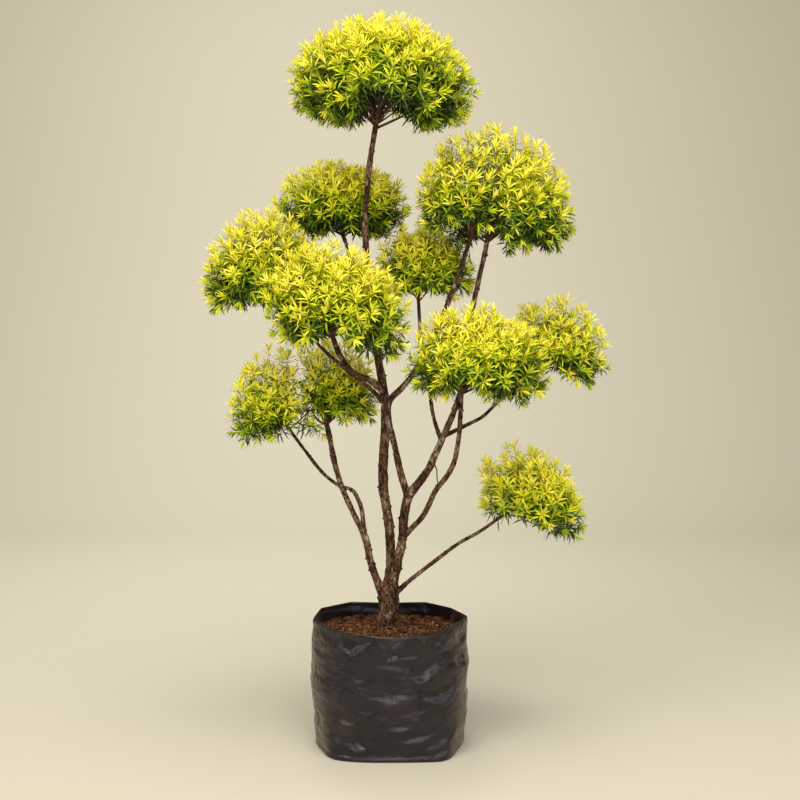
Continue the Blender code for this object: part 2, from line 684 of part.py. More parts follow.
for stray in list(bpy.data.objects):
    bpy.data.objects.remove(stray)
ROOT = bpy.data.objects.new("topiary", None)
bpy.context.scene.collection.objects.link(ROOT)
PATHS = {name: limb_path(name) for name in LIMBS}
SPACES = {}
for order, mass_name in enumerate(MASSES):
    SPACES[mass_name] = Mass(mass_name, order)
build_bag()
build_soil()
for limb_name in LIMBS:
    build_limb(limb_name)
for mass_space in SPACES.values():
    build_mass(mass_space)
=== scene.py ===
"""The looks of a cloud-pruned golden topiary in a black nursery grow bag.

The trunk and boughs get a mesh with the bark's relief.  Each mass of foliage grows on from its
bough's tip as twigs, shoots and narrow leaves, by the same rule as the solids.  The bag is a creased
film round crumbly soil.  Metres, +Z up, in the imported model's frame.
"""

import math

import bpy
import numpy as np
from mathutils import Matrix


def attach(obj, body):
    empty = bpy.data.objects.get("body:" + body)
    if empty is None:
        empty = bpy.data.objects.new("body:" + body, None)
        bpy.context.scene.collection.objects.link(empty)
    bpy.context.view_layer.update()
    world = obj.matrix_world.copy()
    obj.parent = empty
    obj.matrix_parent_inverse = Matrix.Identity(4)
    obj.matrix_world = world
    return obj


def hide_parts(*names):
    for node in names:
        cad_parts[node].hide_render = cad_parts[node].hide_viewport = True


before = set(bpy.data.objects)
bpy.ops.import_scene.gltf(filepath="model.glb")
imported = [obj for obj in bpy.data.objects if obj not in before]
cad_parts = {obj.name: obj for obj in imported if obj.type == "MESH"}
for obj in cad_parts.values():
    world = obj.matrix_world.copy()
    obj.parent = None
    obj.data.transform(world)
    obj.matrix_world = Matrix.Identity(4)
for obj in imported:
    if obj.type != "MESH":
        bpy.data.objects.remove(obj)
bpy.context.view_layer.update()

MM = 0.001
UP = np.array([0.0, 0.0, 1.0])
LEVEL = np.array([1.0, 1.0, 0.0])  # keeps a point's x and y alone

# ---- the bag and the soil (metres) --------------------------------------------------------------
BAG_HEIGHT = 0.257
BAG_FOOT = 0.004  # height of the turned-in edge round the flat underside
BAG_ROUNDNESS = 0.155  # radius of the curve that the soil presses the facets to, halfway up
BAG_BULGE = 0.02  # how much wider the bag is halfway up, as a share
FILM = 0.0008  # thickness of the film as drawn
SOIL_EDGE = 0.2295  # level of the soil against the film
SOIL_CROWN = 0.2345  # level of the soil at the trunk
MOUND = 0.009  # how far the soil is heaped up against the trunk
MOUND_RADIUS = 0.036
SOIL_LUMPS = ((0.040, 1.5, 8), (0.014, 0.9, 12), (0.0065, 0.55, 14))  # length, height (mm), waves
SOIL_WALL = (0.215, 0.17, 0.10, 0.03, 0.006)  # levels of the soil's side rings
SOIL_RINGS = 74
SOIL_GAP = 0.0004  # between the soil's edge and the film
SOIL_WALL_GAP = 0.011  # between its sides and the film, where the film hides them
SOIL_BASE = 0.0024  # level of its underside
CRUMB_SHAPES, CRUMB_STRETCHES = (0.65, 1.2), (0.8, 1.7)  # least and most of radius and length
CRUMB_MARGIN = 0.008  # between the outermost crumbs and the film
# Loose crumbs: piece, count, least and most size (mm), flatness, dark and light shade, seed.
CRUMBS = (
    ("soil_crumbs", 2000, (0.9, 3.2), 0.8, "#22130b", "#644028", 31),
    ("soil_red_crumbs", 900, (0.8, 2.4), 0.8, "#5c3822", "#a1704a", 32),
    ("soil_bark_chips", 130, (1.0, 2.4), 0.35, "#9a7a52", "#dcc090", 33),
)

# The film stands in facets between folds: corners of the rim and of the floor, in mm (x, y).
RIM_CORNERS = np.array([
    (160, 19), (128, 92), (74, 141), (-7, 150), (-86, 143), (-150, 91),
    (-162, 0), (-101, -100), (-63, -130), (3, -150), (58, -131), (108, -85),
]) * MM
BASE_CORNERS = np.array([
    (153.5, 3), (145, 70), (112, 122), (-2, 130), (-108, 122), (-148, 70),
    (-157, -10), (-119, -118), (-58, -131), (3, -132), (62, -130), (116, -125),
]) * MM
RIM_WAVE = (1.8, 1.2, 2.2, -1.4, 2.4, 1.2, -0.6, -1.0, 0.4, -0.4, 0.4, -0.8)  # rise at each, mm
FRONT_CORNER = 9  # the corner in the middle of the front, from which places round the film count
FILM_STEP = 0.0020  # between the film's columns and between its rows
SOFT_COLUMNS = 17  # columns each way over which the film's corners are rounded
BASE_SOFTNESS = 0.90  # share of that rounding at the floor

# Dents in the film, each with a steep flank below it that catches the light from above: place round
# the film and level of the flank, half length, half height of the flank, depth (all mm), tilt
# (degrees, + rises to the right), and how far its ends curl up (in half heights).
FRONT_DENTS = (
    (-66, 230, 38, 12.0, 6.4, 33, 0.4),
    (-90, 216, 18, 5.0, 2.6, -20, 0.5),
    (80, 254, 34, 6.4, 9.0, 6, 0.0),
    (106, 230, 30, 11.5, 5.2, 14, 0.8),
    (34, 212, 37, 6.3, 4.4, -4, 0.6),
    (2, 214, 13, 6.1, 3.5, 30, 0.3),
    (34, 193, 26, 12.3, 3.5, -18, 0.6),
    (54, 168, 25, 10.5, 7.4, -20, 1.0),
    (92, 182, 24, 10.5, 6.0, 34, 0.6),
    (-48, 162, 32, 9.5, 5.8, 14, -0.6),
    (-18, 126, 52, 11.5, 7.6, 0, 0.9),
    (-84, 128, 17, 7.0, 3.3, 0, 0.4),
    (106, 123, 52, 10.5, 7.6, 9, 1.8),
    (-62, 101, 46, 10.5, 7.2, -5, 1.2),
    (-92, 77, 32, 8.8, 5.7, -14, 1.0),
    (38, 102, 39, 8.8, 2.9, 0, 0.6),
    (-68, 50, 28, 8.0, 3.8, -14, 0.4),
    (60, 47, 48, 7.0, 4.6, 11, 0.6),
    (-92, 29, 42, 11.5, 9.6, -15, 0.8),
    (-66, 31, 18, 7.0, 4.0, -25, 0.4),
    (112, 35, 48, 11.5, 8.1, 15, 0.8),
    (-108, 13, 28, 7.0, 4.0, -10, 0.4),
    (112, 13, 28, 7.0, 4.0, 10, 0.4),
    (96, 74, 28, 8.8, 3.3, 12, 0.5),
    (14, 72, 32, 8.8, 2.5, -6, 0.5),
)
OTHER_DENTS = 54  # seeded dents on the sides and the back
DENT_FADE = 2.4  # how far above the flank a dent fades out, in half heights
# Sharp ridges where the empty bag lay folded: from and to (place round the film, level), height (mm).
CREASES = (
    (0, 250, 4, 4, 0.8), (-197, 256, -156, 219, 1.5), (-217, 257, -171, 229, 1.2),
    (220, 257, 183, 233, 1.4), (216, 176, 157, 133, 1.3), (-196, 214, -192, 20, 1.3),
    (197, 214, 193, 24, 1.3), (470, 254, 466, 6, 0.9), (330, 240, 322, 16, 1.3),
    (-330, 240, -322, 16, 1.3), (-128, 205, -112, 150, 0.8), (262, 225, 236, 60, 1.0),
)
CREASE_WIDTH = 1.6  # mm over which a crease falls away
# Sags: height (mm), length upwards (metres), turns, count of waves, seed, how soon fine ones fade.
SAGS = ((1.4, 0.16, 1, 12, 3, 0.8), (1.1, 0.060, 1, 14, 9, 0.6), (0.40, 0.03, 6, 18, 5, 0.5))
FOOT_FADE = (0.003, 0.014)  # levels between which sags and dents begin
RIM_START = 0.238  # level from which they fade towards the rim, down by this share
RIM_FADE = 0.7
LIP = 0.0008  # thickness of the rim
LIP_BEND = 0.0016  # how far the lip bends in

# ---- limbs: parent, then stations (x, y, z, radius; mm) from the parent's axis to the tip --------
LIMBS = {
    "trunk": (None, (
        (-9, 0, 234.8, 16), (-7.2, 0, 258, 18.4), (-5.2, 0, 285, 20.6), (-4, 2, 310, 21.6),
        (-1.5, 4, 330, 16.5), (0.3, 6, 350, 12.2), (1, 9, 376, 10.8), (0.4, 11, 408, 10.3),
        (-3, 12, 440, 10.1), (-8.5, 12, 480, 9.9), (-14.3, 11, 522, 9.7), (-14.5, 10, 580, 9.6),
        (-10, 6, 690, 9.6), (-25, 2, 791, 8.7), (-40, 0, 907, 7.3), (-49.5, 0, 1026, 6.5),
        (-48.7, 0, 1093, 6.2), (-42.8, 0, 1160, 5.8), (-29.5, 0, 1247, 5.5),
    )),
    "bough_left": ("trunk", (
        (-13, 0, 300, 8.2), (-28.5, -5, 340, 7.6), (-41.2, -8, 380, 7.5), (-53.2, -5, 431, 7),
        (-76, 1, 477, 6.1), (-101, 10, 534, 5.8), (-131, 60, 647, 5.7),
    )),
    "bough_left_outer": ("bough_left", (
        (-53, -4, 438, 5.1), (-63.5, 10, 496, 4.5), (-77.5, 20, 519, 4.2), (-105, 32, 527, 4),
        (-126.5, 36, 542, 3.8), (-180.5, 47, 604, 3.7), (-210.5, 52, 645, 3.7),
    )),
    "bough_middle": ("trunk", (
        (0, -2, 297, 9.8), (8, -14, 350, 9.7), (23.8, -22, 424, 9.7), (29, -22, 485, 9.6),
        (36, -21, 515, 9.4), (53, -17, 537, 8.6), (71, -12, 560, 8), (102.5, 0, 623, 7.1),
        (134, 14, 699, 6.2), (165, 28, 885, 5.3), (193.5, 34, 1021, 5),
    )),
    "bough_crossing": ("bough_middle", (
        (35.5, -21, 513, 8), (23, -20, 551, 7.2), (11, -19, 605, 6.7), (-4.5, -18, 680, 6.6),
        (-2, -17, 705, 6.6), (21, -14, 731, 6.4), (45, -10, 760, 6), (90.5, 4, 843, 5.3),
        (121.5, 2, 919, 5), (159.5, -4, 1030, 4.7),
    )),
    "bough_centre_back": ("bough_middle", (
        (102.5, 0, 623, 4.6), (87.5, 22, 668, 4.2), (78, 45, 733, 4), (61.5, 78, 835, 3.9),
        (56.8, 90, 904, 3.9),
    )),
    "bough_right_back": ("bough_middle", (
        (107, 2, 633, 4.6), (161, 20, 657, 4.1), (184, 29, 667.5, 3.8), (210.5, 40, 690, 3.7),
        (235, 50, 714, 3.7), (322, 72, 771, 3.6),
    )),
    "bough_right_front": ("bough_middle", (
        (24.5, -22, 431, 6.4), (67.5, -46, 483, 5.7), (88.5, -62, 530, 5.5), (121.5, -80, 582, 5.3),
        (134.2, -92, 645, 5.1), (137.8, -105, 727, 5),
    )),
    "bough_low_right": ("trunk", (
        (4, 3, 305, 5.5), (35.5, -2, 335, 4.5), (89.4, -12, 380, 4.1), (141.5, -19, 420.5, 3.9),
        (172, -23, 438, 3.7), (225.5, -30, 477.5, 3.6),
    )),
    "bough_front_left": ("trunk", (
        (-12, 3, 722, 6.4), (-33, -15, 743, 6.1), (-72.5, -50, 765.5, 5.9), (-100, -82, 806, 5.6),
        (-111, -100, 839, 5.3),
    )),
    "bough_far_left": ("trunk", (
        (-9, 7, 694, 4.6), (-25, 6, 713, 4.3), (-90.5, -12, 771, 3.8), (-141.5, -4, 815.5, 3.6),
        (-201, 22, 890, 3.4),
    )),
    "bough_back_left": ("trunk", (
        (-33.5, 1, 847, 5.4), (-48, 18, 883, 5), (-90, 108, 1013, 4.6), (-97.5, 116, 1033, 4.4),
    )),
}

# Stubs and knobs left by pruning on each limb: level (mm), turn (degrees: 0 back, 90 left, 180
# front, 270 right), height and width (mm).
KNOBS = {
    "trunk": (
        (302, 95, 2.6, 6), (442, 170, 1.6, 4), (445, 265, 2.8, 3.2), (464, 100, 2.4, 3),
        (487, 262, 2.4, 3.4), (506, 255, 1.8, 3), (528, 98, 3.2, 2.8), (580, 20, 2.2, 3),
        (753, 262, 2.6, 3.2), (792, 255, 2.6, 3.4), (885, 100, 1.5, 3.2), (1013, 95, 2.2, 3),
        (1172, 110, 1.2, 2.6), (1172, 250, 1.2, 2.6), (1202, 262, 2, 2.8),
    ),
    "bough_middle": (
        (356, 190, 2.2, 4.4), (368, 262, 2.4, 3.4), (411, 265, 2.6, 3.2), (470, 95, 2.2, 3),
        (500, 20, 2, 3), (686, 100, 1.8, 2.8), (806, 262, 1.6, 2.6), (929, 265, 2.2, 2.8),
        (997, 262, 2.4, 2.8),
    ),
    "bough_left": (
        (372, 262, 2.4, 3), (401, 262, 2.2, 3), (386.5, 98, 3.4, 2.6), (363, 98, 3, 2.6),
        (470, 15, 1.6, 2.8), (590, 95, 1.6, 2.6),
    ),
    "bough_left_outer": (
        (520, 120, 2.6, 2.4), (556, 60, 1.6, 2.4), (585, 240, 1.6, 2.4), (632, 80, 1.5, 2.4),
    ),
    "bough_low_right": ((347, 200, 1.8, 2.8), (440, 20, 1.3, 2.4)),
    "bough_crossing": ((600, 100, 1.6, 3), (670, 95, 2.2, 3.2), (905, 95, 1.6, 2.8)),
    "bough_right_front": ((540, 95, 1.6, 2.6), (668, 262, 2, 2.6), (696, 262, 2.2, 2.6)),
    "bough_front_left": ((790, 90, 1.6, 2.6),),
    "bough_far_left": ((800, 90, 1.4, 2.4),),
    "bough_right_back": ((690, 100, 1.4, 2.4),),
    "bough_back_left": ((950, 180, 1.4, 2.4),),
}
# A dry twig, as thin as a straw, that hangs from the middle bough onto the one in front of it (mm).
DRY_TWIG = (
    (85.5, -8, 583, 1.4), (91.4, -14, 571, 1.3), (92.8, -40, 556, 1.2), (94.5, -63, 542.5, 1),
)
DRY_TWIG_SIDES = 8
BARK_STEP = 0.0022  # between a limb's rings
BARK_SIDES = {"trunk": 44}
BOUGH_SIDES = 26
# Relief of the bark: ridges, flakes on them, and rings left by old whorls of leaves.
THIN_LIMB = 0.004  # radius
RIDGE_HEIGHT = 0.34  # on a thin limb, mm
RIDGE_GROWTH = 0.075  # how much higher on a thicker one, for each metre of radius
RIDGE_LENGTH, FLAKE_LENGTH, RING_STEP = 0.075, 0.016, 0.0135
FLAKE_SHARE = 0.55  # of the ridges' height
RING_HEIGHT, RING_WIDTH = 0.28, 0.11  # mm, and share of the step between rings
BARK_DEPTH = 0.3  # mm of the radius that the relief stands on
KNOB_RISE, KNOB_SPREAD, KNOB_SCAR = 1.25, 0.6, 0.9  # height, width and dark part, as shares
COLLAR = 0.16  # a bough's swelling where it leaves its parent, as a share of its radius
COLLAR_LENGTH = 0.009
# Painted shade: the bark is darkened along the fork where two limbs meet.
CROTCH_SHADE_WIDTH = 0.0016  # of the painted shade: a dark line in the fork between two limbs
CROTCH_SHADE_DARKNESS = 0.8
KNOB_DARKNESS = 0.85
SOIL_SINK = 0.008  # how far the trunk goes on under the soil's surface
PINCH_HEIGHT = 0.012
FOOT_PINCH = 0.10  # how much the trunk narrows where it meets the soil, as a share of its radius

# ---- masses of foliage --------------------------------------------------------------------------
# Limb, centre (x, y), lowest and highest level, radii (mm), drop for each metre along +X, and the
# bare arch under the mass, open to the front and the back: height over the bough's tip, and how far
# it goes to the left and to the right at the tip's level (mm).
MASSES = {
    "foliage_top": ("trunk", (-15, 5), (1238, 1466), (191, 168), 0.05, (66, 48, 102)),
    "foliage_upper_right": ("bough_middle", (229, 48), (973, 1258), (148, 128), 0.08, (42, 38, 36)),
    "foliage_upper_front": ("bough_crossing", (137, -20), (1018, 1238), (88, 98), 0, (42, 56, 28)),
    "foliage_back_left": (
        "bough_back_left", (-101, 135), (1022, 1195), (150, 120), 0.02, (40, 48, 44)),
    "foliage_far_left": ("bough_far_left", (-256, 55), (866, 1096), (133, 112), -0.07, (22, 30, 28)),
    "foliage_front_left": (
        "bough_front_left", (-100, -137), (794, 1029), (151, 120), 0.21, (40, 44, 46)),
    "foliage_centre_back": ("bough_centre_back", (71, 102), (894, 1080), (118, 92), 0, (30, 32, 32)),
    "foliage_right_front": (
        "bough_right_front", (170, -124), (706, 907), (150, 118), 0.09, (40, 36, 60)),
    "foliage_far_right": ("bough_right_back", (338, 85), (707, 922), (119, 94), 0.03, (28, 40, 36)),
    "foliage_lower_left_outer": (
        "bough_left_outer", (-232, 62), (588, 814), (108, 90), 0.04, (34, 24, 52)),
    "foliage_lower_left": ("bough_left", (-119, 90), (628, 837), (109, 88), 0, (34, 32, 32)),
    "foliage_low_right": ("bough_low_right", (284, -20), (422, 620), (119, 102), 0.27, (34, 36, 62)),
}
WIDEST_LEVEL = 0.36  # where a mass is widest, as a share of its height
LOWER_SQUARENESS = 2.8  # exponent of a mass's lower half: 2 is an ellipse, more is fuller
SHOOT_LOWEST = math.radians(126)  # angle from straight up of the lowest shoot
GOLDEN_ANGLE = math.pi * (3.0 - math.sqrt(5.0))
ARCH_SHAPE = 2.6  # exponent of an arch: 2 is a parabola, more is squarer
NEIGHBOUR_GAP = 0.01  # share of its reach that a mass keeps clear of another
PARTNER_OVERLAP = 0.06  # and by which partners reach into each other
# Masses that have grown into one dome: their outlines run together over the gap.
GROWN_TOGETHER = (("foliage_upper_right", "foliage_upper_front"),
                  ("foliage_lower_left_outer", "foliage_lower_left"))
GROWN_SHARPNESS = 5.5  # how sharply the two outlines meet: less fills the valley more
# Each kind of twig: stations along it, sides round it, and its end's radius as a share of its start.
STEM, MAIN_TWIG, SIDE_TWIG, ARCH_TWIG = (4, 12, 1.0), (12, 9, 0.45), (8, 5, 0.5), (10, 6, 0.5)
TWIG_RISE = 0.010  # distance of the fork from the bough's tip
TWIG_SINK = 0.006  # how far the main twigs start inside the fork, and how far their bends sag
TWIGS_PER_MASS = 6
TWIG_POLAR = math.radians(68)  # angle from straight up of the outermost main twig
TWIG_INNER_SHARE = 0.35  # the innermost one's angle as a share of that
TWIG_REACH = 0.40  # share of the way to the outline at which main twigs end
TWIG_GAP = 0.012  # how far they stay above the arch
STEM_SHARE = 0.96  # radius of the stem as a share of the bough's tip
MAIN_TWIG_THICKNESS = (0.80, 0.20)  # share of the stem's radius, and how much less the outermost has
SIDE_TWIGS_PER_AREA = 2000  # second twigs for each square metre of a mass's plan
SIDE_TWIG_LOWEST = math.radians(112)  # angle from straight up of the lowest of them
SIDE_TWIG_REACH = 0.68
SIDE_TWIG_REACHES = (0.85, 1.1)  # least and most of that
SIDE_TWIG_THICKNESS = (0.24, 0.34)  # as shares of the bough's tip
SIDE_TWIG_BEND = 0.45  # where along it a side twig leaves its main twig's way
SIDE_TWIG_GAP = 0.008
THINNEST_SIDE_TWIG = 0.0007
ARCH_TWIGS = 9  # twigs that show under each arch
ARCH_TWIG_FALL = 0.42  # how much lower the outermost of them end, as a share of the arch's height
ARCH_TWIG_RISE = 0.014  # how far over the arch they go on
ARM_THICKNESS, ARCH_TWIG_THICKNESS = 0.56, (0.26, 0.42)  # as shares of the bough's tip
ARM_START, ARCH_TWIG_START = (0.006, 0.014), 0.004  # how far under the fork they leave the bough
STEM_RADII = (1.15, 1.0, 0.85, 0.7, 0.35)  # of a shoot's stem, from the twig to the shoot's tip (mm)
LONGEST_STEM = 0.075  # a shoot farther than this from any twig gets no stem
HEM = (-0.020, 0.014)  # how far the lowest shoots stray below and above the arch
# Share of the shoots that grow on the underside: height of their way, and the share.
UNDERSIDE_SHARE = ((-0.85, -0.55, -0.20), (0.55, 0.72, 1.0))
DEEPER_HEM = 0.006  # how much higher each deeper layer's lowest shoots stay
LIMB_CLEARANCE = 0.0012  # least room between a leaf and the bark of a limb

# Layers of shoots, from the outline in: shoots for each square metre of plan, depth of the tip under
# the outline (least, most), share of the leaves that grow, and how much darker they are: partly
# their own older green, partly painted shade.
LAYERS = (
    (9900, (0.009, 0.029), 1.0, 0.00),
    (10200, (0.028, 0.050), 0.9, 0.28),
    (6200, (0.054, 0.082), 0.75, 0.50),
)
SHOOT_LENGTH = 0.032
# How much a shoot turns up from straight out of the mass, by the height of its way.
SHOOT_LIFTS = ((-0.75, -0.45, -0.20, 0.15, 1.0), (-0.55, -0.1375, 0.2975, 0.85, 0.85))
WAY_SPREAD, LIFT_SPREAD, AXIS_SPREAD = 0.05, 0.16, 0.20  # of a shoot's place, lift and axis
SHOOT_CLEARANCE = 0.004  # least room between a shoot's tip and another limb
STEM_CLEARANCE = 0.003  # and between the middle of a shoot and any limb
# Whorls of leaves on a shoot, from its tip: leaves, where along the shoot, angles from its axis and
# how far each bends away along its length (degrees), length and width (mm), and how much greener.
WHORLS = (
    (8, (0.00, 0.10), (7, 40), (5, 20), (19, 26), 3.2, 0.00),
    (8, (0.10, 0.44), (42, 70), (20, 42), (22, 27), 3.8, 0.30),
    (9, (0.44, 1.00), (66, 98), (14, 44), (22, 27), 3.8, 0.56),
)
# How green a shoot is by the height of its way from the mass's centre (golder high up, greener and
# darker low down: partly the plant's own colour, partly painted top light and shade), how much of
# their own green its older leaves and a deeper layer add to that (the deeper layer's part is partly
# painted shade), and the share of the lower shoots that stay golden.
GREEN_AND_SHADE_BY_HEIGHT = ((-0.9, -0.5, -0.1, 0.3, 0.7), (0.51, 0.48, 0.38, 0.18, -0.03))
OLDER_SHARE = ((-0.2, 0.6), (1.05, 0.60))
DEEPER_SHARE = ((0.0, 0.7), (1.0, 0.75))
STILL_GOLDEN = 0.25
GOLDEN_SHADE = 0.20  # how green those are, as a share of the others
SHOOT_TONE_SPREAD, TIER_TONE_SPREAD = 0.055, 0.05  # of a shoot's shade and of each whorl's
LEAF_DROOP = 0.55  # how much the lowest shoots' leaves hang
OLD_LEAF_DROOP = 0.12  # how much more a shoot's oldest leaves hang than its youngest
# Spread of single leaves: of the place round the shoot, the angle and the bend (radians), and of how
# far a leaf rolls; and the least and most of a shoot's size, a leaf's length and its width.
TURN_SPREAD, ANGLE_SPREAD, BEND_SPREAD, ROLL_SPREAD = 0.18, 0.12, 0.10, 0.25
SHOOT_SIZES, LENGTHS, WIDTHS = (0.86, 1.12), (0.84, 1.10), (0.88, 1.12)
LEAF_STATIONS = (0.36, 0.72, 1.0)  # where along a leaf its points lie
LEAF_KEEL = 0.22  # how deep its fold is, as a share of its half width
SECOND_WIDTH, SECOND_KEEL = 0.74, 0.7  # both at the second station, as shares of the first
LEAF_REACH = 1.077  # how far past the outline leaf tips go, as a share of it
LOWEST_LEAF = 0.006  # how far below its mass's lowest level a leaf may hang

# Plain colours of the leaves, from the youngest at the light to the oldest inside; the darker
# greens stand partly for painted shade.
LEAF_COLOURS = (
    ("leaf_new_gold", "#ebe249"),
    ("leaf_gold", "#e6de39"),
    ("leaf_yellow", "#dadb26"),
    ("leaf_lime", "#bfc818"),
    ("leaf_spring", "#9caf11"),
    ("leaf_green", "#76900b"),
    ("leaf_mid_green", "#577107"),
    ("leaf_deep_green", "#3a5404"),
    ("leaf_shade_green", "#233703"),
)

# ---- studio -------------------------------------------------------------------------------------
SWEEP_START = 2.2  # how far behind the plant the floor begins to curve up
SWEEP_BEND = 1.6  # radius of that curve
WORLD_COLOUR = "#efecd9"
WORLD_STRENGTH = 0.29
CAMERA_PLACE = (0.019, -3.0, 1.015)
CAMERA_DOWN = 5.87  # degrees
CAMERA_LENS = 67.5  # mm
MIDDLE = (0.0, 0.0, 0.75)  # of the plant
FOOT = (0.0, 0.0, 0.2)
# Area lights: place, target, width and height (metres), power (watts), colour.
LIGHTS = (
    ("key", (-1.7, -2.2, 3.0), MIDDLE, (1.6, 1.6), 58, "#fff8ee"),
    ("front", (0.4, -3.2, 2.75), (0.0, 0.0, 0.4), (3.2, 1.4), 61, "#fcf6f6"),
    ("low_front", (0.3, -3.5, 1.0), (0.0, 0.0, 0.5), (2.8, 1.7), 42, "#fbf5fb"),
    ("fill", (2.4, -2.0, 1.8), MIDDLE, (1.8, 1.8), 18, "#f8f5fa"),
    ("left_side", (-2.9, -0.75, 1.2), FOOT, (1.0, 0.7), 9, "#f8f5fa"),
    ("right_side", (2.9, -0.75, 1.2), FOOT, (1.0, 0.7), 6, "#f8f5fa"),
    ("top", (0.1, -0.7, 3.3), MIDDLE, (1.8, 1.8), 50, "#fffcf0"),
    ("wall", (-0.35, 1.5, 2.3), (-0.35, 2.9, 0.4), (1.0, 0.6), 37, "#f4faf6"),
)


# ---- materials ----------------------------------------------------------------------------------
def linear(hex_colour):
    """An sRGB hex colour as linear red, green, blue and 1."""
    values = [int(hex_colour[i:i + 2], 16) / 255 for i in (1, 3, 5)]
    return (*[v / 12.92 if v <= 0.04045 else ((v + 0.055) / 1.055) ** 2.4 for v in values], 1.0)


class Finish:
    """A new material: a Principled shader, and ways to add patterns in Object coordinates."""

    def __init__(self, name, colour, roughness, values=None):
        self.material = bpy.data.materials.new(name)
        self.material.use_nodes = True
        self.tree = self.material.node_tree
        self.shader = self.tree.nodes["Principled BSDF"]
        self.put(self.shader, {"Base Color": linear(colour), "Roughness": roughness})
        self.put(self.shader, values or {})

    def put(self, node, values):
        """Gives a node its values: an output is linked, the rest set on a socket or a property."""
        for name, value in values.items():
            if isinstance(value, bpy.types.NodeSocket):
                self.tree.links.new(value, node.inputs[name])
            elif isinstance(name, int) or name in node.inputs:
                node.inputs[name].default_value = value
            else:
                setattr(node, name, value)

    def add(self, kind, values):
        """A new shader node with its values."""
        node = self.tree.nodes.new("ShaderNode" + kind)
        self.put(node, values)
        return node

    def place(self, upright=1.0):
        """Object coordinates; a pattern is drawn out upright by 1 / upright."""
        where = self.add("TexCoord", {}).outputs["Object"]
        return self.add("Mapping", {"Vector": where, "Scale": (1.0, 1.0, upright)}).outputs[0]

    def noise(self, place, scale, detail, roughness=0.5):
        """Uneven patches, about scale of them to a metre."""
        values = {"Vector": place, "Scale": scale, "Detail": detail, "Roughness": roughness}
        return self.add("TexNoise", values).outputs["Fac"]

    def cells(self, place, scale):
        """The distance to the nearest of scattered points, about scale of them to a metre."""
        return self.add("TexVoronoi", {"Vector": place, "Scale": scale}).outputs["Distance"]

    def ramp(self, pattern, *stops):
        """The colour of each value of a pattern, from stops of a value and a colour."""
        node = self.add("ValToRGB", {"Fac": pattern})
        marks = node.color_ramp.elements
        for number, (at, colour) in enumerate(stops):
            mark = marks[number] if number < 2 else marks.new(at)
            mark.position = at
            mark.color = linear(colour)
        return node.outputs["Color"]

    def mix(self, blend, share, under, over):
        """Two colours mixed by a share; the sockets' numbers are those of a Mix node for colours."""
        values = {"data_type": "RGBA", "blend_type": blend, 0: share, 6: under, 7: over}
        return self.add("Mix", values).outputs[2]

    def emboss(self, *layers):
        """Relief from layers of pattern, strength and depth (metres), each laid over the last."""
        normal = {}
        for pattern, strength, depth in layers:
            values = {"Height": pattern, "Strength": strength, "Distance": depth, **normal}
            normal = {"Normal": self.add("Bump", values).outputs["Normal"]}
        self.put(self.shader, normal)

    def tint(self, colour):
        """Puts a colour output on the shader."""
        self.put(self.shader, {"Base Color": colour})


def polythene_film():
    """Black low-density polythene, blown as a thin tube: soft half gloss that fine crinkles break up.

    The crinkles run mostly level, 4 to 12 mm apart, with 1 mm grain from handling; soil dust dulls it
    and browns it a little.
    """
    film = Finish("polythene_film", "#100e0f", 0.31, {
        "IOR": 1.51, "Specular IOR Level": 0.45, "Specular Tint": linear("#f9f6fd"),
        "Sheen Weight": 0.18, "Sheen Roughness": 0.45, "Sheen Tint": linear("#e0ae90"),
    })
    place = film.place()
    crinkle = film.noise(film.place(2.4), 42.0, 5.0, 0.55)
    grain = film.noise(place, 300.0, 2.0)
    dust = film.noise(place, 13.0, 5.0, 0.6)
    film.tint(film.ramp(dust, (0.34, "#060505"), (0.58, "#100e0f"), (0.80, "#33261e")))
    dull = film.add("MapRange", {
        "Value": dust, "From Min": 0.3, "From Max": 0.75, "To Min": 0.26, "To Max": 0.39})
    film.put(film.shader, {"Roughness": dull.outputs["Result"]})
    film.emboss((crinkle, 0.60, 0.0024), (grain, 0.18, 0.0004))
    return film.material


def potting_mix():
    """Potting mix of bark fines and coir: dark brown crumbs of 1 to 4 mm, moist and matt."""
    mix = Finish("potting_mix", "#3e2519", 0.95, {"IOR": 1.35, "Specular IOR Level": 0.25})
    place = mix.place()
    damp = mix.noise(place, 55.0, 6.0, 0.68)
    mix.tint(mix.ramp(
        damp, (0.36, "#120802"), (0.50, "#4c2e18"), (0.62, "#86572f"), (0.77, "#c59a68")))
    mix.emboss((mix.cells(place, 330.0), 0.9, 0.0020), (damp, 0.7, 0.0025))
    return mix.material


